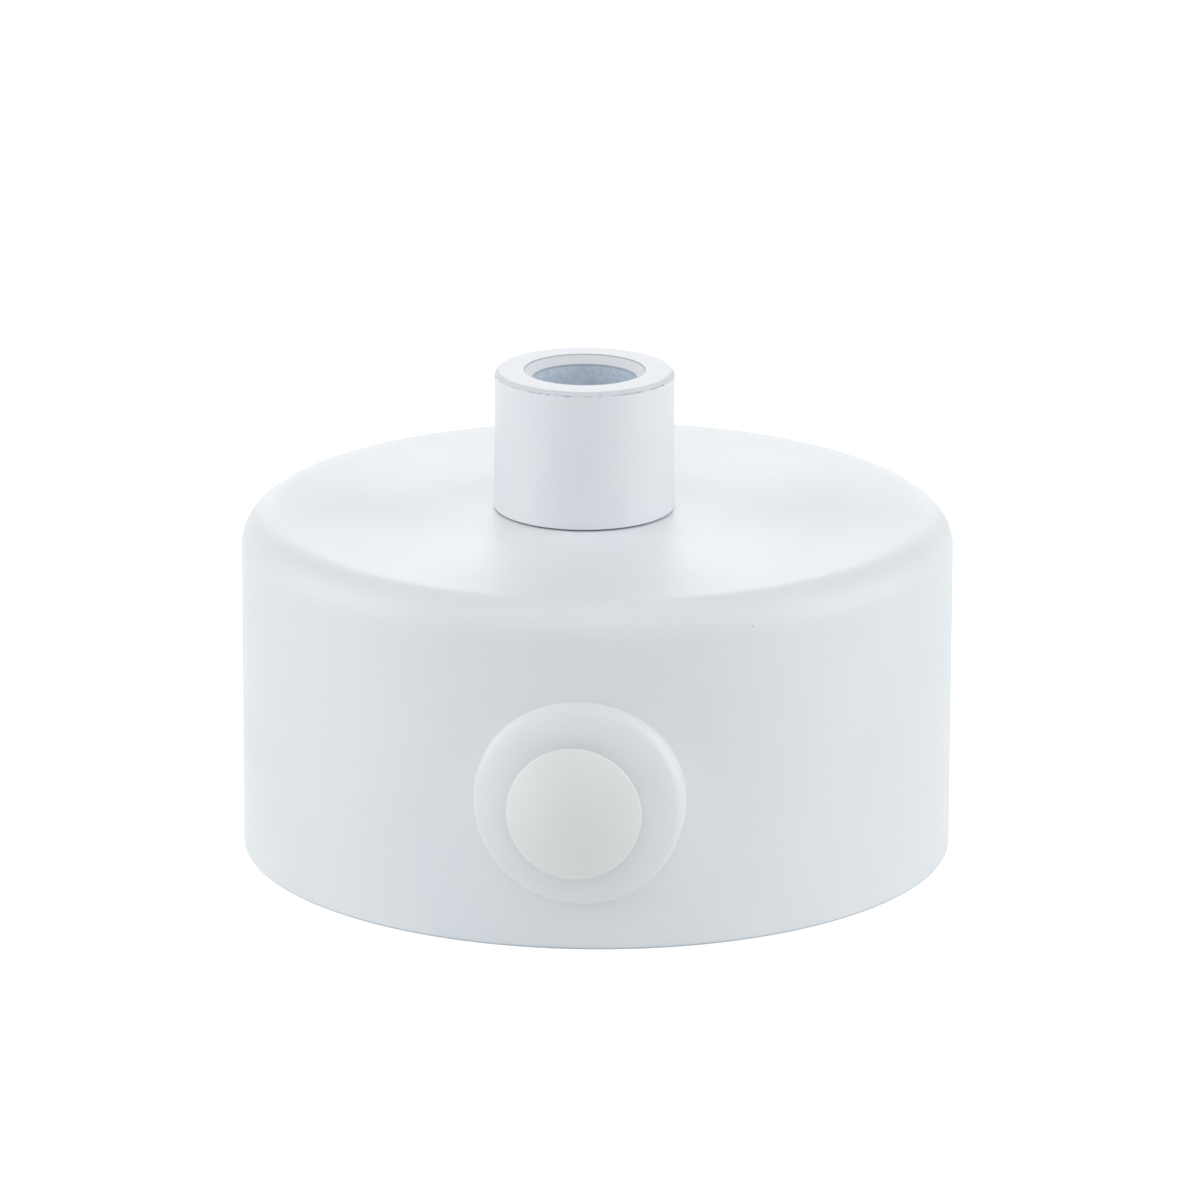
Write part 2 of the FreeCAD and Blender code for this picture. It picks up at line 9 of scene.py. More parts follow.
import bmesh
import bpy
from bpy.props import FloatProperty, FloatVectorProperty, IntProperty, PointerProperty
from mathutils import Matrix, Vector


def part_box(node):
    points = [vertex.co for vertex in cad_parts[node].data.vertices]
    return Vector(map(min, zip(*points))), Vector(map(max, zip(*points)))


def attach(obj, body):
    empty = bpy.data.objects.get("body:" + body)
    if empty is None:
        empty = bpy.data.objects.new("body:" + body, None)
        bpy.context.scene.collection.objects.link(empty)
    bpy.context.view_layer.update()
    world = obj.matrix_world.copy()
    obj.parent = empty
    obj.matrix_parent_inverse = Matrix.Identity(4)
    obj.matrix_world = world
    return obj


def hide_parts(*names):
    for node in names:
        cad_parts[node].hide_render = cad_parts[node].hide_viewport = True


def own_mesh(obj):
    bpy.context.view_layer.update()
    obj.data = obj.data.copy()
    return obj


bl_info = {
    "name": "Ceiling Rose",
    "version": (1, 0, 0),
    "blender": (4, 5, 0),
    "location": "View3D > Sidebar > Rose",
    "description": "Builds a ceiling rose with a cable collar and a push switch, and its studio",
    "category": "Object",
}

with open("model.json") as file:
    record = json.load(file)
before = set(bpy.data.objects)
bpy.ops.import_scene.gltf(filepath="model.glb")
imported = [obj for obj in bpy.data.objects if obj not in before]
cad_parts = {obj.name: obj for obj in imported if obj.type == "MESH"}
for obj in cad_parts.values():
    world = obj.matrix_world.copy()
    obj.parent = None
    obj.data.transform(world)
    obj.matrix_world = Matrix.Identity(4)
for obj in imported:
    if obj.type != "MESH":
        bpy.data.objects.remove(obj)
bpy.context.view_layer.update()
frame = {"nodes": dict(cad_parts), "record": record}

MM = 0.001
QUARTER_TURN = math.pi / 2
BODIES = {node: body for body, nodes in frame["record"]["behaviour"]["bodies"].items() for node in nodes}

# Points this close are one point, and faces this near to flat are one face
MERGE_DISTANCE = 0.001 * MM
FLAT_ANGLE = math.radians(0.5)
# Edges sharper than this stay sharp to the eye, in degrees
CREASE = 30
# A cutter reaches past the outer radius by this factor
CUT_REACH = 1.2
# Outline points to one turn of a thread, on large pieces and on small screws
THREAD_STEPS = 8
SMALL_THREAD_STEPS = 6

# Reflection of the paints and the plastics, and roughness of plated and drawn metal
PAINT_IOR, PAINT_SPECULAR = 1.5, 0.3
PLASTIC_IOR, PLASTIC_SPECULAR = 1.49, 0.35
METAL_ROUGHNESS = 0.37
# The part of a noise's range that gloss follows
NOISE_LOW, NOISE_HIGH = 0.3, 0.7

WHITE = (1, 1, 1, 1)
ROOM_TINT = (0.93, 0.98, 1.0, 1)
TABLE_TONES = (0.9, 0.905, 0.91, 1), (0.92, 0.92, 0.92, 1)
FIBRE = (0.2, 0.205, 0.21)
SPRING_STEEL = (0.56, 0.57, 0.58)
DUST = (0.28, 0.27, 0.26)
# Painted shade: the contact shadow along the cup's open rim
RIM_SHADOW_TONE = (0.36, 0.46, 0.54)
# Painted shade laid over the collar's top face, its chamfers and its bore
TOP_FACE_SHADE = (0.46, 0.46, 0.5)
# Painted shade on the collar's outer chamfer
OUTER_CHAMFER_SHADE = (0.42, 0.48, 0.55)
# Painted shade: thin dark lines along the collar's turned edges
EDGE_SHADE_LINE = (0.2, 0.22, 0.25)

# Each lamp's name, its place to the camera's right, away from it and up, and its panel's two sides
LAMPS = (
    ("overhead", (0, 0, 1.2), (1.6, 1.6)),
    ("high_front", (0, -0.9, 1.2), (1.6, 1.0)),
    ("front", (0, -1.5, 0.6), (2.4, 1.0)),
    ("back", (0, 1.4, 0.4), (1.0, 0.7)),
    ("left", (-1.2, 0, 0.5), (1.0, 0.9)),
    ("right", (1.2, 0, 0.5), (1.0, 0.9)),
)

CUP_LOW, CUP_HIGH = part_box("rose_cup")
COLLAR_LOW, COLLAR_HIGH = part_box("collar")
NIPPLE_LOW, NIPPLE_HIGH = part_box("threaded_nipple")
HOUSING_LOW, HOUSING_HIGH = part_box("switch_housing")
BUTTON_LOW, BUTTON_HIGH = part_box("push_button")
SPRING_LOW, SPRING_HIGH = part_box("return_spring")
CLAMP_SCREW_LOW, CLAMP_SCREW_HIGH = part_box("clamp_screws")
BLOCK_SCREW_LOW, BLOCK_SCREW_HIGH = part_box("block_screws")
COLLAR_SCREW_LOW, COLLAR_SCREW_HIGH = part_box("collar_screw")
SIDE_SCREW_LOW, SIDE_SCREW_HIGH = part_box("side_screw_right")

CUP_RADIUS = (CUP_HIGH.x - CUP_LOW.x) / 2
COLLAR_RADIUS = (COLLAR_HIGH.x - COLLAR_LOW.x) / 2


def length(name, description, default):
    """A size in metres that a user may change."""
    return FloatProperty(name=name, description=description, default=default, unit="LENGTH", precision=5)


def share(name, description, default):
    """A number from 0 to 1 that a user may change."""
    return FloatProperty(name=name, description=description, default=default, min=0, max=1, subtype="FACTOR")


def angle(name, description, degrees):
    """An angle that a user may change."""
    return FloatProperty(name=name, description=description, default=math.radians(degrees), subtype="ANGLE")


def colour(name, description, default):
    """A plain colour that a user may change."""
    return FloatVectorProperty(name=name, description=description, default=default, min=0, max=1, size=3,
                               subtype="COLOR")


def power(name, description, default):
    """A lamp's power in watts."""
    return FloatProperty(name=name, description=description, default=default, unit="POWER", precision=3)


def count(name, description, default, low, high):
    """A whole number that a user may change."""
    return IntProperty(name=name, description=description, default=default, min=low, max=high)


class RoseCupSettings(bpy.types.PropertyGroup):
    """Sizes and finish of the cup."""
    wall: length("Wall", "Thickness of the pressed cup", 1.0 * MM)
    shoulder: length("Shoulder radius", "Outer radius between the wall and the flat top", 4.0 * MM)
    rim_round: length("Rim round", "Radius on the edges of the open rim", 0.3 * MM)
    centre_hole: length("Centre hole", "Radius of the hole under the collar", 7.0 * MM)
    side_hole: length("Side hole", "Radius of the two side screw holes", 2.2 * MM)
    switch_hole: length("Switch hole", "Radius of the hole for the switch barrel", 9.15 * MM)
    segments: count("Segments", "Faces around the cup", 288, 48, 512)
    paint: colour("Paint", "Colour of the powder coat", (0.80, 0.835, 0.86))
    roughness: share("Roughness", "Roughness of the powder coat", 0.46)


class RoseCollarSettings(bpy.types.PropertyGroup):
    """Sizes and finish of the cable collar and the nipple below it."""
    bore: length("Bore", "Radius of the collar's bore", 5.75 * MM)
    bore_paint: colour("Bore paint", "Colour of the thin paint in the bore", (0.76, 0.86, 0.985))
    thread_bore: length("Thread", "Radius of the tapped lower bore", 5.03 * MM)
    thread_depth: length("Thread depth", "Height of the tapped lower bore", 7.0 * MM)
    mouth: length("Mouth chamfer", "Width of the chamfer at the mouth", 1.0 * MM)
    edge: length("Edge chamfer", "Width of the chamfer on the outer edge", 0.45 * MM)
    foot: length("Foot round", "Radius on the collar's bottom edge", 0.15 * MM)
    nipple_bore: length("Nipple bore", "Radius of the way through the nipple", 4.0 * MM)
    nipple_pitch: length("Nipple pitch", "Thread pitch of the nipple", 1.0 * MM)
    paint: colour("Paint", "Colour of the collar's paint", (0.845, 0.872, 0.905))
    roughness: share("Roughness", "Roughness of the collar's paint", 0.45)


class RoseSwitchSettings(bpy.types.PropertyGroup):
    """Sizes and finish of the push switch."""
    land: length("Land", "Flat ring between the crown and the button", 0.25 * MM)
    rise: length("Rise", "Height of the crown over its edge", 1.75 * MM)
    bulge: length("Bulge", "Height of the crown's curve over a straight slope", 0.25 * MM)
    edge_round: length("Edge round", "Radius on the bezel's edge", 1.6 * MM)
    mouth_round: length("Mouth round", "Radius on the edge round the button", 0.12 * MM)
    neck: length("Neck", "Radius of the hole that the button runs in", 6.85 * MM)
    neck_length: length("Neck length", "Depth of that hole", 4.4 * MM)
    barrel: length("Barrel", "Outer radius of the threaded barrel", 9.0 * MM)
    cavity: length("Cavity", "Inner radius of the barrel", 8.0 * MM)
    barrel_pitch: length("Barrel pitch", "Thread pitch of the barrel", 1.0 * MM)
    wall_gap: length("Wall gap", "Clearance between the bezel and the cup", 0.01 * MM)
    button: length("Button", "Radius of the button's cap", 7.4 * MM)
    button_body: length("Button body", "Radius of the button in the neck", 6.7 * MM)
    dome: length("Dome", "Height of the button's dome", 2.5 * MM)
    cap_edge: length("Cap edge", "Height of the cap's rim under the dome", 0.3 * MM)
    button_round: length("Button round", "Radius on the dome's edge", 0.3 * MM)
    button_wall: length("Button wall", "Thickness of the button", 1.5 * MM)
    lip: length("Lip", "Width of the lip that keeps the button in", 0.45 * MM)
    lip_height: length("Lip height", "Height of that lip", 1.7 * MM)
    spring_wire: length("Spring wire", "Thickness of the spring's wire", 0.7 * MM)
    spring_turns: count("Spring turns", "Turns of the spring", 4, 2, 12)
    bezel_colour: colour("Bezel", "Colour of the bezel", (0.79, 0.825, 0.845))
    button_colour: colour("Button", "Colour of the button", (0.79, 0.82, 0.81))


class RoseFixingSettings(bpy.types.PropertyGroup):
    """Finish of the metal and moulded pieces inside."""
    zinc: colour("Zinc", "Colour of the zinc-plated steel", (0.62, 0.63, 0.64))
    brass: colour("Brass", "Colour of the brass", (0.76, 0.55, 0.24))
    nylon: colour("Nylon", "Colour of the terminal strip", (0.74, 0.72, 0.66))
    thermoset: colour("Thermoset", "Colour of the switch mouldings", (0.035, 0.035, 0.038))
    screw_pitch: length("Screw pitch", "Thread pitch of the small screws", 0.45 * MM)
    edge_break: length("Edge break", "Width of the broken edges on pressed pieces", 0.08 * MM)


class RoseStageSettings(bpy.types.PropertyGroup):
    """Camera and lamps."""
    lens: FloatProperty(name="Lens", description="Focal length in mm on a 36 mm sensor", default=253.0)
    distance: length("Distance", "From the camera to the point it looks at", 950.2 * MM)
    azimuth: angle("Azimuth", "Camera angle round the rose", 7.11)
    elevation: angle("Elevation", "Camera angle over the table", 16.57)
    roll: angle("Roll", "Turn of the camera about its view", 0.2)
    aim_right: length("Aim right", "Offset of the aim to the camera's right", 0.316 * MM)
    aim_height: length("Aim height", "Height of the point that the camera looks at", 27.92 * MM)
    overhead: power("Overhead", "Lamp over the rose", 4.1)
    high_front: power("High front", "Lamp high in front of the rose", 6.0)
    front: power("Front", "Lamp above the camera", 3.75)
    back: power("Back", "Low lamp behind the rose", 4.4)
    left: power("Left", "Lamp at the left", 7.4)
    right: power("Right", "Lamp at the right", 7.6)
    ambient: share("Ambient", "Strength of the room's own light", 0.1)


class RoseSettings(bpy.types.PropertyGroup):
    """All settings of the rose."""
    cup: PointerProperty(type=RoseCupSettings)
    collar: PointerProperty(type=RoseCollarSettings)
    switch: PointerProperty(type=RoseSwitchSettings)
    fixings: PointerProperty(type=RoseFixingSettings)
    stage: PointerProperty(type=RoseStageSettings)


def settings():
    """The scene's rose settings."""
    return bpy.context.scene.ceiling_rose


# Node helpers

def add(tree, kind, inputs=None, **values):
    """Adds a node, sets its properties, then links or fills its inputs by name or number."""
    node = tree.nodes.new(kind)
    for name, value in values.items():
        setattr(node, name, value)
    for key, value in (inputs or {}).items():
        socket = node.inputs[key]
        if isinstance(value, bpy.types.NodeSocket):
            tree.links.new(value, socket)
        else:
            socket.default_value = value
    return node


def arithmetic(tree, operation, first, second=0.0):
    """One shader math node's output."""
    return add(tree, "ShaderNodeMath", {0: first, 1: second}, operation=operation).outputs[0]


def product(tree, first, second):
    """Two values multiplied."""
    return arithmetic(tree, "MULTIPLY", first, second)


def largest(tree, first, *others):
    """The largest of some values."""
    for other in others:
        first = arithmetic(tree, "MAXIMUM", first, other)
    return first


def whole_number(tree, operation, first, second):
    """One integer math node's output."""
    return add(tree, "FunctionNodeIntegerMath", {0: first, 1: second}, operation=operation).outputs[0]


def made_once(name):
    """Lets a function build the node group of this name once, and gives that group back afterwards."""
    def wrapped(build):
        return lambda: bpy.data.node_groups.get(name) or build(name)
    return wrapped


def new_tree(name, kind, sockets_in, sockets_out):
    """An empty node group with named sockets, then what it is given and what it makes."""
    tree = bpy.data.node_groups.new(name, kind)
    for in_out, sockets in (("INPUT", sockets_in), ("OUTPUT", sockets_out)):
        for label, socket_kind, *default in sockets:
            socket = tree.interface.new_socket(label, in_out=in_out, socket_type="NodeSocket" + socket_kind)
            if default:
                socket.default_value = default[0]
    return tree, tree.nodes.new("NodeGroupInput").outputs, tree.nodes.new("NodeGroupOutput").inputs


def ended(tree, given, made, geometry):
    """Ends a Geometry Nodes tree: real meshes with the given material on."""
    real = add(tree, "GeometryNodeRealizeInstances", {"Geometry": geometry})
    painted = add(tree, "GeometryNodeSetMaterial",
                  {"Geometry": real.outputs[0], "Material": given["Material"]})
    tree.links.new(painted.outputs[0], made[0])
    return tree


@made_once("Turned Part")
def turned_part_tree(name):
    """Turns a radius and height outline about Z, with a screw thread where its thread attribute is 1."""
    tree, given, made = new_tree(
        name, "GeometryNodeTree",
        [("Outline", "Geometry"), ("Segments", "Int", 128), ("Thread Pitch", "Float", 1 * MM),
         ("Thread Depth", "Float", 0.0), ("Merge Distance", "Float", 0.002 * MM), ("Material", "Material")],
        [("Part", "Geometry")])
    outline = given["Outline"]
    rows = add(tree, "GeometryNodeAttributeDomainSize", {"Geometry": outline}).outputs["Point Count"]
    columns = whole_number(tree, "ADD", given["Segments"], 1)
    grid = add(tree, "GeometryNodeMeshGrid", {"Vertices X": rows, "Vertices Y": columns})
    index = tree.nodes.new("GeometryNodeInputIndex").outputs[0]
    row = whole_number(tree, "DIVIDE_FLOOR", index, columns)
    column = whole_number(tree, "MODULO", index, columns)

    def sampled(value, kind):
        return add(tree, "GeometryNodeSampleIndex", {"Geometry": outline, "Value": value, "Index": row},
                   data_type=kind).outputs["Value"]

    place = sampled(tree.nodes.new("GeometryNodeInputPosition").outputs[0], "FLOAT_VECTOR")
    named = add(tree, "GeometryNodeInputNamedAttribute", {"Name": "thread"}, data_type="FLOAT")
    threaded = sampled(named.outputs["Attribute"], "FLOAT")
    point = add(tree, "ShaderNodeSeparateXYZ", {0: place}).outputs
    turn = arithmetic(tree, "DIVIDE", column, given["Segments"])
    around = product(tree, turn, math.tau)
    climb = arithmetic(tree, "DIVIDE", point["Z"], given["Thread Pitch"])
    phase = arithmetic(tree, "FRACT", arithmetic(tree, "SUBTRACT", climb, turn))
    groove = arithmetic(tree, "ABSOLUTE", arithmetic(tree, "SUBTRACT", product(tree, phase, 2.0), 1.0))
    depth = product(tree, threaded, given["Thread Depth"])
    radius = arithmetic(tree, "SUBTRACT", point["X"], product(tree, groove, depth))
    x = product(tree, radius, arithmetic(tree, "COSINE", around))
    y = product(tree, radius, arithmetic(tree, "SINE", around))
    position = add(tree, "ShaderNodeCombineXYZ", {"X": x, "Y": y, "Z": point["Z"]}).outputs[0]
    shaped = add(tree, "GeometryNodeSetPosition", {"Geometry": grid.outputs["Mesh"], "Position": position})
    closed = add(tree, "GeometryNodeMergeByDistance",
                 {"Geometry": shaped.outputs[0], "Distance": given["Merge Distance"]})
    return ended(tree, given, made, closed.outputs[0])


@made_once("Wound Coil")
def coil_tree(name):
    """A round wire wound into a coil about Z."""
    tree, given, made = new_tree(
        name, "GeometryNodeTree",
        [("Turns", "Float", 4.0), ("Coil Radius", "Float", 5 * MM), ("Height", "Float", 10 * MM),
         ("Wire Radius", "Float", 0.3 * MM), ("Material", "Material")],
        [("Coil", "Geometry")])
    path = add(tree, "GeometryNodeCurveSpiral",
               {"Resolution": 48, "Rotations": given["Turns"], "Start Radius": given["Coil Radius"],
                "End Radius": given["Coil Radius"], "Height": given["Height"]})
    section = add(tree, "GeometryNodeCurvePrimitiveCircle",
                  {"Resolution": 12, "Radius": given["Wire Radius"]})
    wire = add(tree, "GeometryNodeCurveToMesh",
               {"Curve": path.outputs[0], "Profile Curve": section.outputs[0], "Fill Caps": True})
    return ended(tree, given, made, wire.outputs[0])


@made_once("Screw Rows")
def screw_rows_tree(name):
    """Copies one screw onto a rectangle of places, each turned its own way."""
    tree, given, made = new_tree(
        name, "GeometryNodeTree",
        [("Screw", "Geometry"), ("Across", "Int", 2), ("Deep", "Int", 1),
         ("Across Spacing", "Float", 10 * MM), ("Deep Spacing", "Float", 10 * MM),
         ("Seat Height", "Float", 0.0), ("Turn Seed", "Int", 3), ("Material", "Material")],
        [("Screws", "Geometry")])
    across = whole_number(tree, "SUBTRACT", given["Across"], 1)
    deep = whole_number(tree, "SUBTRACT", given["Deep"], 1)
    places = add(tree, "GeometryNodeMeshGrid",
                 {"Size X": product(tree, across, given["Across Spacing"]),
                  "Size Y": product(tree, deep, given["Deep Spacing"]),
                  "Vertices X": given["Across"], "Vertices Y": given["Deep"]})
    lift = add(tree, "ShaderNodeCombineXYZ", {"Z": given["Seat Height"]})
    seated = add(tree, "GeometryNodeSetPosition",
                 {"Geometry": places.outputs["Mesh"], "Offset": lift.outputs[0]})
    turn = add(tree, "FunctionNodeRandomValue", {3: math.pi, "Seed": given["Turn Seed"]}, data_type="FLOAT")
    spin = add(tree, "ShaderNodeCombineXYZ", {"Z": turn.outputs[1]})
    copies = add(tree, "GeometryNodeInstanceOnPoints",
                 {"Points": seated.outputs[0], "Instance": given["Screw"], "Rotation": spin.outputs[0]})
    return ended(tree, given, made, copies.outputs[0])


# Mesh helpers

def new_object(name, data):
    """An object at the origin, in the scene."""
    piece = bpy.data.objects.new(name, data)
    bpy.context.scene.collection.objects.link(piece)
    return piece


def settle(piece):
    """Turns a piece and its modifiers into one plain mesh."""
    graph = bpy.context.evaluated_depsgraph_get()
    mesh = bpy.data.meshes.new_from_object(piece.evaluated_get(graph))
    piece.modifiers.clear()
    before = piece.data
    piece.data = mesh
    mesh.name = piece.name
    bpy.data.meshes.remove(before)
    return piece


def grown(piece, tree, values):
    """Runs a node tree on a piece, with its inputs filled by their labels, and keeps the mesh it makes."""
    modifier = piece.modifiers.new(tree.name, "NODES")
    modifier.node_group = tree
    for item in tree.interface.items_tree:
        if item.in_out == "INPUT" and item.name in values:
            modifier[item.identifier] = values[item.name]
    return settle(piece)


def tidy(piece, crease=CREASE):
    """Points the faces outwards and shades them smooth between edges sharper than the crease."""
    work = bmesh.new()
    work.from_mesh(piece.data)
    bmesh.ops.recalc_face_normals(work, faces=work.faces)
    work.to_mesh(piece.data)
    work.free()
    for face in piece.data.polygons:
        face.use_smooth = True
    piece.data.set_sharp_from_angle(angle=math.radians(crease))
    return piece


def swept(centre, start, end, steps):
    """Points along an arc about a centre, from one point to another."""
    ray = start - centre
    sweep = ray.angle_signed(end - centre)
    points = []
    for step in range(steps + 1):
        spoke = ray.copy()
        spoke.rotate(Matrix.Rotation(-sweep * step / steps, 2))
        points.append(centre + spoke)
    return points


def rounded(corners, steps=8):
    """Outline points from (radius, height, corner radius): each rounded corner becomes a tangent arc."""
    points = []
    for index, (r, z, bend) in enumerate(corners):
        here = Vector((r, z))
        if bend <= 0:
            points.append(here)
            continue
        back = (Vector(corners[index - 1][:2]) - here).normalized()
        ahead = (Vector(corners[(index + 1) % len(corners)][:2]) - here).normalized()
        half = back.angle(ahead) / 2
        run = bend / math.tan(half)
        centre = here + (back + ahead).normalized() * (bend / math.sin(half))
        points += swept(centre, here + back * run, here + ahead * run, steps)
    return points


def bulged(start, end, bulge, steps=20):
    """Points along an arc from one point to another that stands a given height over the straight line."""
    start, end = Vector(start), Vector(end)
    across = end - start
    radius = (across.length ** 2 / 4 + bulge ** 2) / (2 * bulge)
    outwards = Vector((-across.y, across.x)).normalized()
    outwards *= 1 if outwards.x + outwards.y > 0 else -1
    return swept((start + end) / 2 - outwards * (radius - bulge), start, end, steps)


def half_dome(radius, rim, height, steps=24):
    """Points over a dome from its middle to its rim."""
    bend = (radius ** 2 + height ** 2) / (2 * height)
    reach = math.asin(radius / bend)
    return [Vector((bend * math.sin(reach * step / steps),
                    rim + height - bend * (1 - math.cos(reach * step / steps))))
            for step in range(steps + 1)]


def divided(points, longest, closed=True):
    """The same outline with no run longer than a limit."""
    made = []
    last = len(points) if closed else len(points) - 1
    for index in range(last):
        here, after = points[index], points[(index + 1) % len(points)]
        parts = max(1, math.ceil((after - here).length / longest))
        made += [here.lerp(after, part / parts) for part in range(parts)]
    made.append(points[0] if closed else points[-1])
    return made


def turned(name, points, material, segments, pitch=1 * MM, depth=0.0, thread=None):
    """A piece turned about Z from outline points.

    thread is (radius, from, to) for the part of the outline that the thread runs along.
    """
    mesh = bpy.data.meshes.new(name)
    mesh.from_pydata([(p.x, 0, p.y) for p in points], [(i, i + 1) for i in range(len(points) - 1)], [])
    flag = mesh.attributes.new("thread", "FLOAT", "POINT")
    if thread:
        radius, low, high = thread
        on = [1.0 if abs(p.x - radius) < MERGE_DISTANCE and low < p.y < high else 0.0 for p in points]
        flag.data.foreach_set("value", on)
    piece = grown(new_object(name, mesh), turned_part_tree(), {
        "Segments": segments, "Thread Pitch": pitch, "Thread Depth": depth, "Material": material})
    return tidy(piece)


def new_cutter(work):
    """An object to cut with, from a bmesh that is then freed."""
    mesh = bpy.data.meshes.new("cutter")
    work.to_mesh(mesh)
    work.free()
    return new_object("cutter", mesh)


def cylinder_cutter(radius, low, high, place=Matrix.Identity(4), segments=96):
    """A cylinder along Z, then moved by a matrix, to cut with."""
    work = bmesh.new()
    bmesh.ops.create_cone(work, cap_ends=True, segments=segments, radius1=radius, radius2=radius,
                          depth=high - low)
    bmesh.ops.translate(work, verts=work.verts, vec=(0, 0, (low + high) / 2))
    bmesh.ops.transform(work, verts=work.verts, matrix=place)
    return new_cutter(work)


def box_cutter(size, centre):
    """A box to cut with."""
    work = bmesh.new()
    bmesh.ops.create_cube(work, size=1)
    bmesh.ops.scale(work, verts=work.verts, vec=size)
    bmesh.ops.translate(work, verts=work.verts, vec=centre)
    return new_cutter(work)


def cut(piece, cutter):
    """Cuts a piece with another, which is then removed."""
    modifier = piece.modifiers.new("Cut", "BOOLEAN")
    modifier.operation = "DIFFERENCE"
    modifier.solver = "EXACT"
    modifier.object = cutter
    settle(piece)
    mesh = cutter.data
    bpy.data.objects.remove(cutter)
    bpy.data.meshes.remove(mesh)
    return tidy(piece)


def collar_axis():
    """Matrix from the Z axis to the collar's axis."""
    return Matrix.Translation(((COLLAR_LOW.x + COLLAR_HIGH.x) / 2, (COLLAR_LOW.y + COLLAR_HIGH.y) / 2, 0))


def switch_axis():
    """Matrix from the Z axis to the switch's axis, which points to the front."""
    middle = (BUTTON_LOW + BUTTON_HIGH) / 2
    return Matrix.Translation((middle.x, 0, middle.z)) @ Matrix.Rotation(QUARTER_TURN, 4, "X")


def seat(piece, node, place=None):
    """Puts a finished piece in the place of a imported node, on its body and with its finish."""
    if place is not None:
        piece.data.transform(place)
        piece.data.update()
    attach(piece, BODIES[node])
    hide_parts(node)


def finish(material, edge_break, *nodes):
    """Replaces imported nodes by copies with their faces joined, sharp edges broken and a material on."""
    for node in nodes:
        piece = new_object(node + "_finished", frame["nodes"][node].data.copy())
        work = bmesh.new()
        work.from_mesh(piece.data)
        bmesh.ops.remove_doubles(work, verts=work.verts, dist=MERGE_DISTANCE)
        bmesh.ops.dissolve_limit(work, angle_limit=FLAT_ANGLE, verts=work.verts, edges=work.edges)
        work.to_mesh(piece.data)
        work.free()
        piece.data.materials.clear()
        piece.data.materials.append(material)
        for face in piece.data.polygons:
            face.material_index = 0
        if edge_break > 0:
            modifier = piece.modifiers.new("Broken Edges", "BEVEL")
            modifier.width = edge_break
            modifier.segments = 2
            modifier.limit_method = "ANGLE"
            modifier.angle_limit = math.radians(CREASE)
            settle(piece)
        seat(tidy(piece), node)


# Shader helpers

@made_once("Fine Grain")
def grain_group(name):
    """Fine surface grain: a height from small noise, and a slow cloud for tint and gloss."""
    tree, given, made = new_tree(
        name, "ShaderNodeTree",
        [("Vector", "Vector"), ("Grain Size", "Float", 0.6 * MM), ("Cloud Size", "Float", 20 * MM)],
        [("Height", "Float"), ("Cloud", "Float")])
    fine_scale = arithmetic(tree, "DIVIDE", 1.0, given["Grain Size"])
    cloud_scale = arithmetic(tree, "DIVIDE", 1.0, given["Cloud Size"])
    fine = add(tree, "ShaderNodeTexNoise",
               {"Vector": given["Vector"], "Scale": fine_scale, "Detail": 3.0, "Roughness": 0.55})
    cloud = add(tree, "ShaderNodeTexNoise", {"Vector": given["Vector"], "Scale": cloud_scale, "Detail": 2.0})
    tree.links.new(fine.outputs[0], made["Height"])
    tree.links.new(cloud.outputs[0], made["Cloud"])
    return tree


@made_once("Dust Specks")
def speck_group(name):
    """A mask of tiny specks of dust, rare and uneven."""
    tree, given, made = new_tree(
        name, "ShaderNodeTree",
        [("Vector", "Vector"), ("Spacing", "Float", 4 * MM), ("Speck Size", "Float", 0.04),
         ("Share", "Float", 0.2)],
        [("Mask", "Float")])
    scale = arithmetic(tree, "DIVIDE", 1.0, given["Spacing"])
    cells = add(tree, "ShaderNodeTexVoronoi", {"Vector": given["Vector"], "Scale": scale})
    near = arithmetic(tree, "LESS_THAN", cells.outputs["Distance"], given["Speck Size"])
    pick = add(tree, "ShaderNodeSeparateColor", {0: cells.outputs["Color"]}).outputs[0]
    chosen = arithmetic(tree, "LESS_THAN", pick, given["Share"])
    tree.links.new(product(tree, near, chosen), made["Mask"])
    return tree


@made_once("Drawn Streaks")
def drawn_group(name):
    """Streaks along one axis, as on drawn, rolled or turned metal."""
    tree, given, made = new_tree(
        name, "ShaderNodeTree",
        [("Vector", "Vector"), ("Stretch", "Vector", (1.0, 1.0, 1.0)), ("Streak Size", "Float", 0.2 * MM)],
        [("Streaks", "Float")])
    pulled = add(tree, "ShaderNodeVectorMath", {0: given["Vector"], 1: given["Stretch"]},
                 operation="MULTIPLY")
    scale = arithmetic(tree, "DIVIDE", 1.0, given["Streak Size"])
    noise = add(tree, "ShaderNodeTexNoise", {"Vector": pulled.outputs[0], "Scale": scale, "Detail": 3.0})
    tree.links.new(noise.outputs[0], made["Streaks"])
    return tree


def placed(tree, group, inputs):
    """The outputs of a shader group that is placed in a material."""
    return add(tree, "ShaderNodeGroup", inputs, node_tree=group).outputs


def blended(tree, factor, first, second):
    """A colour mix of two colours or sockets by a factor."""
    return add(tree, "ShaderNodeMix", {0: factor, 6: first, 7: second}, data_type="RGBA").outputs[2]


def spread(tree, value, low, high, to_low=0.0, to_high=1.0):
    """Maps a value from one range to another, without overshoot."""
    return add(tree, "ShaderNodeMapRange",
               {0: value, 1: low, 2: high, 3: to_low, 4: to_high}, clamp=True).outputs[0]


def opaque(rgb, factor=1.0):
    """An opaque colour, lightened or darkened by a factor."""
    return (*[min(1.0, part * factor) for part in rgb], 1.0)


def cooler(rgb, amount):
    """A colour with less red and more blue."""
    return rgb[0] * (1 - amount), rgb[1], rgb[2] * (1 + amount)


def covered(tree, tone, mask, cover, rgb):
    """A tone with a colour laid over it where a mask is, as thickly as a cover from 0 to 1."""
    return blended(tree, product(tree, mask, cover), tone, opaque(rgb))


def stripe(tree, value, middle, half_width):
    """A soft mask along the line where a value passes its middle."""
    away = arithmetic(tree, "ABSOLUTE", arithmetic(tree, "SUBTRACT", value, middle))
    return spread(tree, away, half_width * 0.4, half_width, 1.0, 0.0)


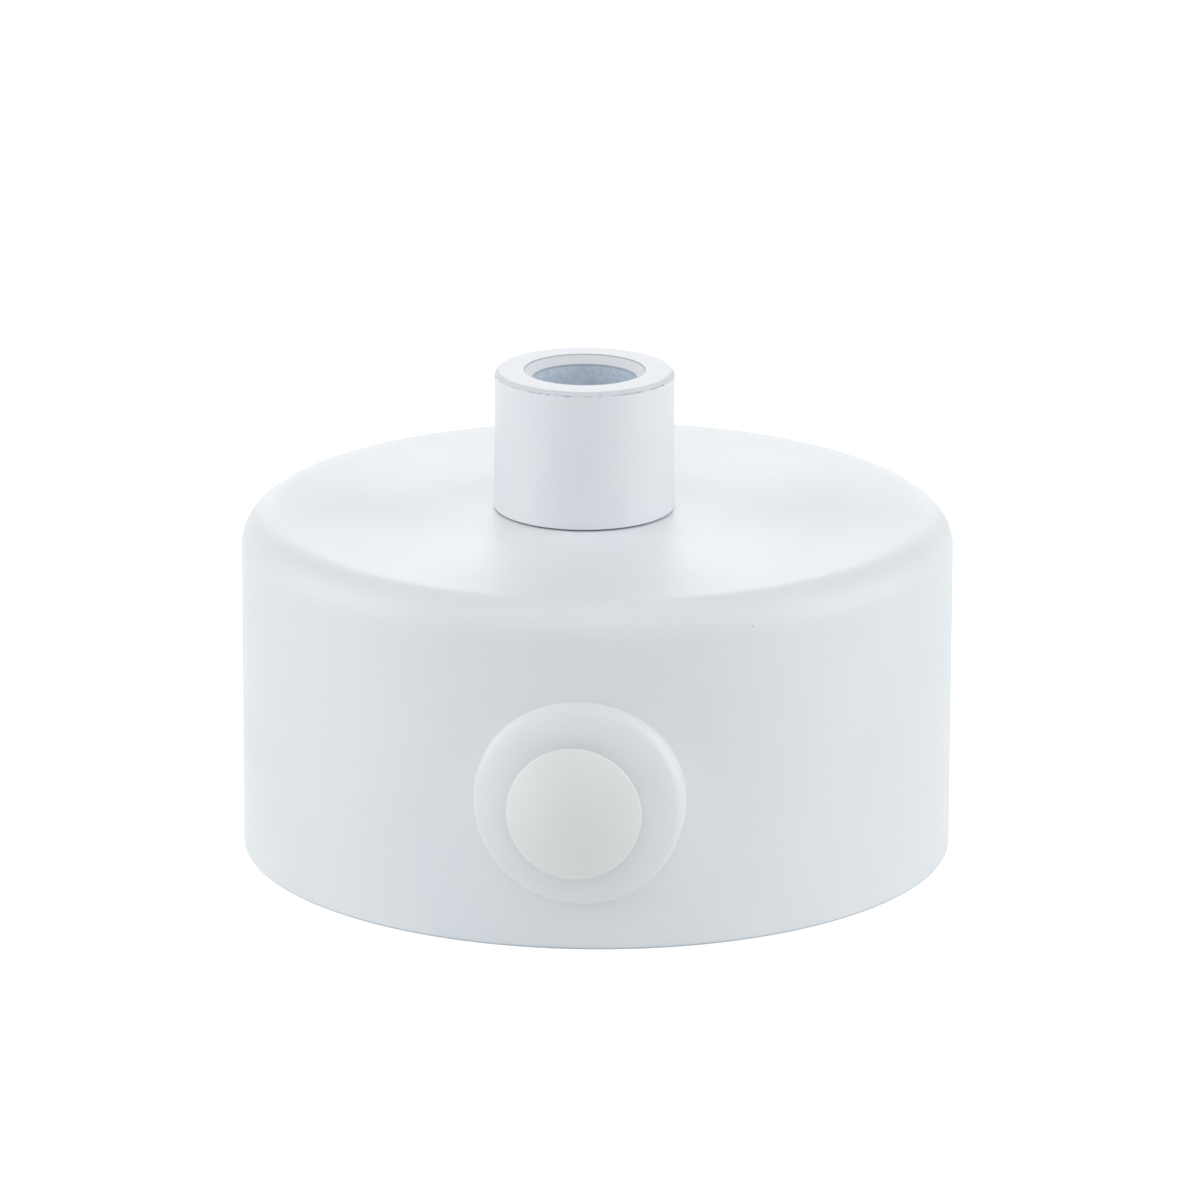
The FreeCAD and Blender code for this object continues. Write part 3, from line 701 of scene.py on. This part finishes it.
def seen_plainly(tree):
    """1 where the camera sees something, straight, in a reflection or through glass."""
    rays = tree.nodes.new("ShaderNodeLightPath").outputs
    return largest(tree, rays["Is Camera Ray"], rays["Is Glossy Ray"], rays["Is Transmission Ray"])


def new_material(name):
    """A material with its shader linked up, and its object coordinates."""
    material = bpy.data.materials.new(name)
    material.use_nodes = True
    tree = material.node_tree
    tree.nodes.clear()
    shader = tree.nodes.new("ShaderNodeBsdfPrincipled")
    add(tree, "ShaderNodeOutputMaterial", {"Surface": shader.outputs[0]})
    place = tree.nodes.new("ShaderNodeTexCoord").outputs["Object"]
    return material, tree, shader.inputs, place


def vary(tree, shader, tone, noise, roughness, below, above):
    """Gives a shader its tone and lets a noise change its roughness a little."""
    varied = spread(tree, noise, NOISE_LOW, NOISE_HIGH, roughness - below, roughness + above)
    tree.links.new(tone, shader["Base Color"])
    tree.links.new(varied, shader["Roughness"])


def bump(tree, shader, height, distance, strength=0.3):
    """Feeds a height to a shader's normal."""
    node = add(tree, "ShaderNodeBump", {"Height": height, "Distance": distance, "Strength": strength})
    tree.links.new(node.outputs[0], shader["Normal"])


def paint_material(name, rgb, roughness, grain_size, grain_depth, marks=None):
    """Satin stoved paint: a fine skin, a slow change in tone, a few specks and any marks of its own, which
    on the cup and the collar are mostly painted shade.
    """
    material, tree, shader, place = new_material(name)
    grain = placed(tree, grain_group(), {"Vector": place, "Grain Size": grain_size, "Cloud Size": 18 * MM})
    specks = placed(tree, speck_group(), {"Vector": place, "Spacing": 3.5 * MM, "Speck Size": 0.03,
                                          "Share": 0.1})
    cool, warm = opaque(cooler(rgb, 0.012), 0.985), opaque(cooler(rgb, -0.008), 1.01)
    tone = blended(tree, spread(tree, grain["Cloud"], 0.35, 0.65), cool, warm)
    tone = covered(tree, tone, specks["Mask"], 0.45, DUST)
    if marks:
        tone = marks(tree, place, tone)
    vary(tree, shader, tone, grain["Height"], roughness, below=0.04, above=0.04)
    shader["IOR"].default_value = PAINT_IOR
    shader["Specular IOR Level"].default_value = PAINT_SPECULAR
    bump(tree, shader, grain["Height"], grain_depth, strength=0.35)
    return material


def plastic_material(name, rgb, roughness, grain_depth=0.004 * MM):
    """Moulded plastic: fine spark-eroded grain and a slow change in gloss."""
    material, tree, shader, place = new_material(name)
    grain = placed(tree, grain_group(), {"Vector": place, "Grain Size": 0.35 * MM, "Cloud Size": 6 * MM})
    tone = blended(tree, grain["Cloud"], opaque(rgb, 0.98), opaque(rgb, 1.015))
    vary(tree, shader, tone, grain["Cloud"], roughness, below=0.03, above=0.03)
    shader["IOR"].default_value = PLASTIC_IOR
    shader["Specular IOR Level"].default_value = PLASTIC_SPECULAR
    bump(tree, shader, grain["Height"], grain_depth)
    return material


def metal_material(name, rgb, stretch, roughness=METAL_ROUGHNESS, streak_size=0.25 * MM, dull=0.12):
    """Plated or drawn metal: streaks in its gloss and a patchy, slightly dulled tone."""
    material, tree, shader, place = new_material(name)
    grain = placed(tree, grain_group(), {"Vector": place, "Grain Size": 0.5 * MM, "Cloud Size": 5 * MM})
    streaks = placed(tree, drawn_group(), {"Vector": place, "Stretch": stretch, "Streak Size": streak_size})
    tone = blended(tree, spread(tree, grain["Cloud"], 0.4, 0.62), opaque(rgb, 1 - dull), opaque(rgb, 1.04))
    vary(tree, shader, tone, streaks["Streaks"], roughness, below=0.07, above=0.09)
    shader["Metallic"].default_value = 1.0
    bump(tree, shader, streaks["Streaks"], distance=0.006 * MM)
    return material


def shared(build, name, *values):
    """A material that several pieces have: the one that is there, or else a new one."""
    return bpy.data.materials.get(name) or build(name, *values)


def zinc():
    """Zinc-plated steel."""
    return shared(metal_material, "Zinc Plated Steel", settings().fixings.zinc, (0.15, 1.0, 1.0))


def brass():
    """Plain drawn brass."""
    return shared(metal_material, "Drawn Brass", settings().fixings.brass, (1.0, 0.12, 1.0))


def thermoset():
    """Black moulded switch material."""
    return shared(plastic_material, "Black Thermoset", settings().fixings.thermoset, 0.42)


# Operators

class ROSE_OT_cup(bpy.types.Operator):
    """Builds the pressed cup with its rounded shoulder and its holes"""
    bl_idname = "rose.cup"
    bl_label = "Cup"

    def execute(self, context):
        size = settings().cup
        inner, ceiling = CUP_RADIUS - size.wall, CUP_HIGH.z - size.wall
        outline = rounded([
            (size.centre_hole, ceiling, 0),
            (inner, ceiling, size.shoulder - size.wall),
            (inner, CUP_LOW.z, size.rim_round),
            (CUP_RADIUS, CUP_LOW.z, size.rim_round),
            (CUP_RADIUS, CUP_HIGH.z, size.shoulder),
            (size.centre_hole, CUP_HIGH.z, 0),
        ], steps=16)
        material = paint_material("Cup Powder Coat", size.paint, size.roughness, grain_size=0.55 * MM,
                                  grain_depth=0.012 * MM, marks=self.marks)
        piece = turned("cup_shell", divided(outline, longest=1.5 * MM), material, size.segments)
        reach = CUP_RADIUS * CUT_REACH
        cut(piece, cylinder_cutter(size.switch_hole, CUP_RADIUS / 2, reach, switch_axis()))
        screw = (SIDE_SCREW_LOW + SIDE_SCREW_HIGH) / 2
        across = Matrix.Translation((0, screw.y, screw.z)) @ Matrix.Rotation(QUARTER_TURN, 4, "Y")
        cut(piece, cylinder_cutter(size.side_hole, -reach, reach, across))
        seat(piece, "rose_cup")
        return {"FINISHED"}

    def marks(self, tree, place, tone):
        """Darkens the paint towards the open rim, by up to half, as painted shade: a painted contact shadow
        where the cup meets the table.
        """
        shadow_full_below, shadow_gone_above, cover = 0.12 * MM, 0.34 * MM, 0.5
        height = add(tree, "ShaderNodeSeparateXYZ", {0: place}).outputs["Z"]
        # Painted shade, darkest at the rim and gone a third of a millimetre up
        return blended(tree, spread(tree, height, shadow_full_below, shadow_gone_above, cover, 0.0), tone, opaque(RIM_SHADOW_TONE))


class ROSE_OT_collar(bpy.types.Operator):
    """Builds the turned cable collar and finishes its gasket and set screw"""
    bl_idname = "rose.collar"
    bl_label = "Cable collar"

    def execute(self, context):
        size = settings().collar
        low, top = COLLAR_LOW.z, COLLAR_HIGH.z
        broken = 0.06 * MM
        outline = rounded([
            (size.thread_bore, low, 0),
            (COLLAR_RADIUS, low, size.foot),
            (COLLAR_RADIUS, top - size.edge, broken),
            (COLLAR_RADIUS - size.edge, top, broken),
            (size.bore + size.mouth, top, broken),
            (size.bore, top - size.mouth, broken),
            (size.bore, low + size.thread_depth, 0),
            (size.thread_bore, low + size.thread_depth, 0),
        ], steps=6)
        material = paint_material("Collar Paint", size.paint, size.roughness, grain_size=0.4 * MM,
                                  grain_depth=0.006 * MM, marks=self.marks)
        piece = turned("cable_collar", divided(outline, longest=1.0 * MM), material, segments=192)
        clearance = 0.03 * MM
        hole = (COLLAR_SCREW_HIGH.x - COLLAR_SCREW_LOW.x) / 2 + clearance
        height = (COLLAR_SCREW_LOW.z + COLLAR_SCREW_HIGH.z) / 2
        back = Matrix.Translation((0, 0, height)) @ Matrix.Rotation(-QUARTER_TURN, 4, "X")
        cut(piece, cylinder_cutter(hole, 0, COLLAR_RADIUS * CUT_REACH, back))
        seat(piece, "collar", collar_axis())
        finish(plastic_material("Grey Fibre", FIBRE, roughness=0.6), 0, "collar_gasket")
        finish(zinc(), 0.05 * MM, "collar_screw")
        return {"FINISHED"}

    def marks(self, tree, place, tone):
        """Bluer, thin paint in the bore, then painted shade: a darker top face, chamfers and bore, a darker,
        bluer outer chamfer, and fine dark lines along the turned edges.
        """
        size = settings().collar
        shoulder, mouth_foot = COLLAR_HIGH.z - size.edge, COLLAR_HIGH.z - size.mouth
        chamfer_edge, mouth_edge = COLLAR_RADIUS - size.edge, size.bore + size.mouth
        point = add(tree, "ShaderNodeSeparateXYZ", {0: place}).outputs
        aside = arithmetic(tree, "SUBTRACT", point["X"], collar_axis().translation.x)
        level = add(tree, "ShaderNodeCombineXYZ", {"X": aside, "Y": point["Y"]}).outputs[0]
        radius = add(tree, "ShaderNodeVectorMath", {0: level}, operation="LENGTH").outputs["Value"]
        noise = add(tree, "ShaderNodeTexNoise", {"Vector": place, "Scale": 1 / (0.6 * MM), "Detail": 3.0})
        blotch = spread(tree, noise.outputs[0], 0.42, 0.62)
        in_bore = spread(tree, radius, size.bore + 0.02 * MM, size.bore + 0.1 * MM, 1.0, 0.0)
        bore_tone = blended(tree, blotch, opaque(size.bore_paint, 0.92), opaque(size.bore_paint, 1.04))
        tone = blended(tree, in_bore, tone, bore_tone)
        # Painted shade: the top face, both chamfers and the bore darkened a little
        over_edge = spread(tree, point["Z"], shoulder - 0.04 * MM, shoulder + 0.04 * MM)
        at_edge = spread(tree, radius, chamfer_edge - 0.08 * MM, chamfer_edge + 0.02 * MM)
        in_mouth = spread(tree, radius, mouth_edge, mouth_edge + 0.05 * MM, 1.0, 0.0)
        tone = covered(tree, tone, largest(tree, over_edge, in_mouth), 0.17, TOP_FACE_SHADE)
        # Painted shade: the outer chamfer darker and bluer
        tone = covered(tree, tone, product(tree, over_edge, at_edge), 0.18, OUTER_CHAMFER_SHADE)
        # Painted shade as thin dark lines: round the top of the mouth chamfer, in the crease at its foot
        # and, broken up, along the foot of the outer chamfer
        mouth_line = stripe(tree, radius, mouth_edge, 0.13 * MM)
        foot_line = product(tree, stripe(tree, point["Z"], mouth_foot, 0.14 * MM),
                            arithmetic(tree, "SUBTRACT", 1.0, at_edge))
        broken_line = product(tree, stripe(tree, point["Z"], shoulder, 0.09 * MM),
                              product(tree, at_edge, blotch))
        return covered(tree, tone, largest(tree, mouth_line, foot_line, broken_line), 0.62, EDGE_SHADE_LINE)


class ROSE_OT_nipple(bpy.types.Operator):
    """Builds the threaded nipple and finishes the washers and nut that clamp it to the cup"""
    bl_idname = "rose.nipple"
    bl_label = "Threaded nipple"

    def execute(self, context):
        size = settings().collar
        radius = (NIPPLE_HIGH.x - NIPPLE_LOW.x) / 2
        low, top, lead = NIPPLE_LOW.z, NIPPLE_HIGH.z, 0.4 * MM
        outline = rounded([
            (size.nipple_bore, low, 0),
            (radius - lead, low, 0),
            (radius, low + lead, 0),
            (radius, top - lead, 0),
            (radius - lead, top, 0),
            (size.nipple_bore, top, 0),
        ])
        material = metal_material("Zinc Plated Thread", settings().fixings.zinc, (1.0, 1.0, 0.3))
        points = divided(outline, longest=size.nipple_pitch / THREAD_STEPS)
        piece = turned("nipple_thread", points, material, segments=96, pitch=size.nipple_pitch,
                       depth=0.5 * MM, thread=(radius, low + lead, top - lead))
        seat(piece, "threaded_nipple", collar_axis())
        finish(zinc(), 0.06 * MM, "flat_washer", "tooth_washer", "nipple_nut")
        return {"FINISHED"}


class ROSE_OT_switch(bpy.types.Operator):
    """Builds the switch's bezel and threaded barrel, its push button and its spring"""
    bl_idname = "rose.switch"
    bl_label = "Push switch"

    def execute(self, context):
        size = settings().switch
        self.bezel(size)
        self.button(size)
        self.spring(size)
        finish(plastic_material("Nut Nylon", size.bezel_colour, roughness=0.4), 0.1 * MM, "switch_nut")
        finish(thermoset(), 0.1 * MM, "switch_base", "guide_plate", "switch_plunger")
        finish(brass(), 0.04 * MM, "fixed_contact_left", "fixed_contact_right", "contact_bridge")
        return {"FINISHED"}

    def bezel(self, size):
        """The crowned ring and its barrel in one, with a back that follows the cup's wall."""
        radius = (HOUSING_HIGH.x - HOUSING_LOW.x) / 2
        crown, barrel_end = -HOUSING_LOW.y, -HOUSING_HIGH.y
        land = (size.neck + size.land, crown)
        edge = (radius, crown - size.rise)
        arc = [(*point, 0) for point in bulged(edge, land, size.bulge)
               if (point - Vector(edge)).length > size.edge_round]
        axis = switch_axis()
        reach_out = abs(axis.translation.x) + radius
        foot = math.sqrt(CUP_RADIUS ** 2 - reach_out ** 2) - settings().cup.wall
        neck_end = crown - size.neck_length
        outline = rounded([
            (size.neck, neck_end, 0),
            (size.cavity, neck_end, 0),
            (size.cavity, barrel_end, 0),
            (size.barrel, barrel_end, 0),
            (size.barrel, foot, 0),
            (radius, foot, 0),
            (*edge, size.edge_round),
            *arc,
            (size.neck, crown, size.mouth_round),
        ])
        lead, plain, clearance, segments = 0.2 * MM, 1.2 * MM, 0.02 * MM, 224
        material = plastic_material("Bezel Plastic", size.bezel_colour, roughness=0.44)
        points = divided(outline, longest=size.barrel_pitch / THREAD_STEPS)
        piece = turned("switch_bezel", points, material, segments, pitch=size.barrel_pitch, depth=0.4 * MM,
                       thread=(size.barrel, barrel_end + lead, foot - plain))
        cup = cylinder_cutter(CUP_RADIUS + size.wall_gap, -CUP_RADIUS, CUP_RADIUS * 2, axis.inverted(),
                              segments=720)
        cut(cup, cylinder_cutter(size.barrel + clearance, 0, CUP_RADIUS * 2, segments=segments))
        cut(piece, cup)
        seat(piece, "switch_housing", axis)

    def button(self, size):
        """The hollow button with its domed cap and the lip that keeps it in."""
        top, low = -BUTTON_LOW.y, -BUTTON_HIGH.y
        rim = top - size.dome
        lip_radius = size.button_body + size.lip
        roof = rim - size.button_wall
        hollow = size.button_body - size.button_wall
        outline = rounded([
            *[(*point, 0) for point in half_dome(size.button, rim, size.dome)[:-1]],
            (size.button, rim, size.button_round),
            (size.button, rim - size.cap_edge, 0.08 * MM),
            (size.button_body, rim - size.cap_edge, 0),
            (size.button_body, low + size.lip_height, 0),
            (lip_radius, low + size.lip_height, 0.1 * MM),
            (lip_radius, low, 0.1 * MM),
            (hollow, low, 0),
            (hollow, roof, 0),
            (0, roof, 0),
        ])
        material = plastic_material("Button Plastic", size.button_colour, roughness=0.42)
        points = divided(outline, longest=0.5 * MM, closed=False)
        seat(turned("button_cap", points, material, segments=192), "push_button", switch_axis())

    def spring(self, size):
        """The coil behind the button."""
        foot, roof = -SPRING_HIGH.y, -SPRING_LOW.y
        wire = size.spring_wire / 2
        piece = new_object("coil_spring", bpy.data.meshes.new("coil_spring"))
        grown(piece, coil_tree(), {
            "Turns": float(size.spring_turns), "Coil Radius": (SPRING_HIGH.z - SPRING_LOW.z) / 2 - wire,
            "Height": roof - foot - size.spring_wire, "Wire Radius": wire,
            "Material": metal_material("Spring Wire", SPRING_STEEL, (1.0, 1.0, 1.0)),
        })
        tidy(piece, crease=60)
        seat(piece, "return_spring", switch_axis() @ Matrix.Translation((0, 0, foot + wire)))
        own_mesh(piece)


class ROSE_OT_fixings(bpy.types.Operator):
    """Finishes the bracket and its screws"""
    bl_idname = "rose.fixings"
    bl_label = "Bracket and screws"

    def execute(self, context):
        size, cup = settings().fixings, settings().cup
        rolled = metal_material("Zinc Plated Strip", size.zinc, (0.06, 1.0, 1.0), roughness=0.38,
                                streak_size=0.3 * MM, dull=0.2)
        finish(rolled, size.edge_break, "mounting_bracket")
        white = paint_material("Screw Paint", cup.paint, cup.roughness, grain_size=0.3 * MM,
                               grain_depth=0.004 * MM)
        finish(white, size.edge_break, "side_screw_left", "side_screw_right")
        finish(brass(), size.edge_break, "earth_screw", "earth_washer")
        return {"FINISHED"}


class ROSE_OT_terminals(bpy.types.Operator):
    """Finishes the terminal strip and builds its screws"""
    bl_idname = "rose.terminals"
    bl_label = "Terminal strip"

    def execute(self, context):
        nylon = plastic_material("Terminal Nylon", settings().fixings.nylon, 0.45, grain_depth=0.006 * MM)
        finish(nylon, 0.15 * MM, "terminal_block")
        finish(brass(), 0.06 * MM, "wire_clamp_1", "wire_clamp_2", "wire_clamp_3")
        self.rows("strip_screws", "clamp_screws", CLAMP_SCREW_LOW, CLAMP_SCREW_HIGH, across=3, deep=2,
                  head_radius=1.5 * MM, head_height=1.6 * MM, shank=1.3 * MM)
        self.rows("hold_down_screws", "block_screws", BLOCK_SCREW_LOW, BLOCK_SCREW_HIGH, across=2, deep=1,
                  head_radius=1.9 * MM, head_height=1.4 * MM, shank=1.25 * MM)
        return {"FINISHED"}

    def rows(self, name, node, low, high, across, deep, head_radius, head_height, shank):
        """One slotted screw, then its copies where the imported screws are."""
        pitch, lead, slot = settings().fixings.screw_pitch, 0.3 * MM, 0.9 * MM
        seat_height = high.z - head_height
        tip = low.z - seat_height
        outline = rounded([
            (0, tip, 0),
            (shank - lead, tip, 0),
            (shank, tip + lead, 0),
            (shank, 0, 0),
            (head_radius, 0, 0.08 * MM),
            (head_radius, head_height, head_height / 3),
            (0, head_height, 0),
        ])
        points = divided(outline, longest=pitch / SMALL_THREAD_STEPS, closed=False)
        screw = turned(name, points, zinc(), segments=40, pitch=pitch, depth=0.2 * MM,
                       thread=(shank, tip + lead, -0.2 * MM))
        cut(screw, box_cutter((head_radius * 3, slot, head_height), (0, 0, head_height)))
        grown(screw, screw_rows_tree(), {
            "Across": across, "Deep": deep, "Seat Height": seat_height,
            "Across Spacing": (high.x - low.x - 2 * head_radius) / max(across - 1, 1),
            "Deep Spacing": (high.y - low.y - 2 * head_radius) / max(deep - 1, 1),
            "Material": zinc(),
        })
        seat(tidy(screw), node)


class ROSE_OT_stage(bpy.types.Operator):
    """Builds the table, the lamps, the room's light and the camera"""
    bl_idname = "rose.stage"
    bl_label = "Studio"

    def execute(self, context):
        size = settings().stage
        self.table()
        self.room(size)
        for name, place, panel in LAMPS:
            self.lamp(size, name, place, panel)
        self.camera(size)
        context.scene.view_settings.view_transform = "Standard"
        return {"FINISHED"}

    def table(self):
        """A white table that shows white to the camera and is clear from below."""
        mesh = bpy.data.meshes.new("table")
        reach, depth = 1.5, -0.02 * MM
        mesh.from_pydata([(-reach, -reach, depth), (reach, -reach, depth), (reach, reach, depth),
                          (-reach, reach, depth)], [], [(0, 1, 2, 3)])
        piece = new_object("table", mesh)
        material, tree, shader, place = new_material("White Table")
        grain = placed(tree, grain_group(), {"Vector": place, "Grain Size": 2 * MM, "Cloud Size": 0.3})
        tree.links.new(blended(tree, grain["Cloud"], *TABLE_TONES), shader["Base Color"])
        shader["Roughness"].default_value = 0.9
        output = next(node for node in tree.nodes if node.type == "OUTPUT_MATERIAL").inputs["Surface"]
        matt = output.links[0].from_socket
        glow = add(tree, "ShaderNodeEmission", {"Color": WHITE, "Strength": 0.55}).outputs[0]
        lit = add(tree, "ShaderNodeAddShader", {0: matt, 1: glow}).outputs[0]
        above = add(tree, "ShaderNodeMixShader", {0: seen_plainly(tree), 1: matt, 2: lit}).outputs[0]
        under = tree.nodes.new("ShaderNodeNewGeometry").outputs["Backfacing"]
        clear = tree.nodes.new("ShaderNodeBsdfTransparent").outputs[0]
        final = add(tree, "ShaderNodeMixShader", {0: under, 1: above, 2: clear}).outputs[0]
        tree.links.new(final, output)
        mesh.materials.append(material)

    def room(self, size):
        """A faint, cool light from all round, which itself looks white."""
        world = bpy.data.worlds.new("Room")
        bpy.context.scene.world = world
        world.use_nodes = True
        tree = world.node_tree
        tree.nodes.clear()
        shows = seen_plainly(tree)
        strength = add(tree, "ShaderNodeMix", {0: shows, 2: size.ambient, 3: 1.0}).outputs[0]
        tint = blended(tree, shows, ROOM_TINT, WHITE)
        light = add(tree, "ShaderNodeBackground", {"Color": tint, "Strength": strength})
        add(tree, "ShaderNodeOutputWorld", {"Surface": light.outputs[0]})

    def lamp(self, size, name, place, panel):
        """A soft lamp, turned to the rose and out of the camera's sight."""
        data = bpy.data.lights.new(name, "AREA")
        data.shape = "RECTANGLE"
        data.size, data.size_y = panel
        data.energy = getattr(size, name)
        lamp = new_object(name, data)
        place = Matrix.Rotation(size.azimuth, 3, "Z") @ Vector(place)
        aim = Vector((0, 0, size.aim_height))
        lamp.location = place
        lamp.rotation_euler = (aim - place).to_track_quat("-Z", "Y").to_euler()
        lamp.visible_camera = False

    def camera(self, size):
        """The camera at the photograph's place."""
        data = bpy.data.cameras.new("camera")
        data.lens = size.lens
        data.sensor_width = 36.0
        data.clip_start = 0.05
        data.clip_end = 20.0
        camera = new_object("camera", data)
        sin_a, cos_a = math.sin(size.azimuth), math.cos(size.azimuth)
        sin_e, cos_e = math.sin(size.elevation), math.cos(size.elevation)
        right = Vector((cos_a, sin_a, 0))
        aim = right * size.aim_right + Vector((0, 0, size.aim_height))
        back = Vector((sin_a * cos_e, -cos_a * cos_e, sin_e))
        look = (-back).to_track_quat("-Z", "Y").to_matrix().to_4x4()
        roll = Matrix.Rotation(size.roll, 4, "Z")
        camera.matrix_world = Matrix.Translation(aim + back * size.distance) @ look @ roll
        bpy.context.scene.camera = camera


BUILDERS = (ROSE_OT_cup, ROSE_OT_collar, ROSE_OT_nipple, ROSE_OT_switch, ROSE_OT_fixings, ROSE_OT_terminals,
            ROSE_OT_stage)


class ROSE_PT_panel(bpy.types.Panel):
    """Lists the pieces of the rose and their settings"""
    bl_idname = "ROSE_PT_panel"
    bl_label = "Ceiling Rose"
    bl_space_type = "VIEW_3D"
    bl_region_type = "UI"
    bl_category = "Rose"

    def draw(self, context):
        for builder in BUILDERS:
            self.layout.operator(builder.bl_idname)
        for part in RoseSettings.__annotations__:
            section = self.layout.box()
            section.label(text=part.title())
            group = getattr(settings(), part)
            for name in group.__annotations__:
                section.prop(group, name)


CLASSES = (RoseCupSettings, RoseCollarSettings, RoseSwitchSettings, RoseFixingSettings, RoseStageSettings,
           RoseSettings, *BUILDERS, ROSE_PT_panel)


def register():
    for item in CLASSES:
        bpy.utils.register_class(item)
    bpy.types.Scene.ceiling_rose = PointerProperty(type=RoseSettings)


def unregister():
    del bpy.types.Scene.ceiling_rose
    for item in reversed(CLASSES):
        bpy.utils.unregister_class(item)


def main():
    register()
    bpy.ops.rose.cup()
    bpy.ops.rose.collar()
    bpy.ops.rose.nipple()
    bpy.ops.rose.switch()
    bpy.ops.rose.fixings()
    bpy.ops.rose.terminals()
    bpy.ops.rose.stage()


if __name__ == "__main__":
    main()
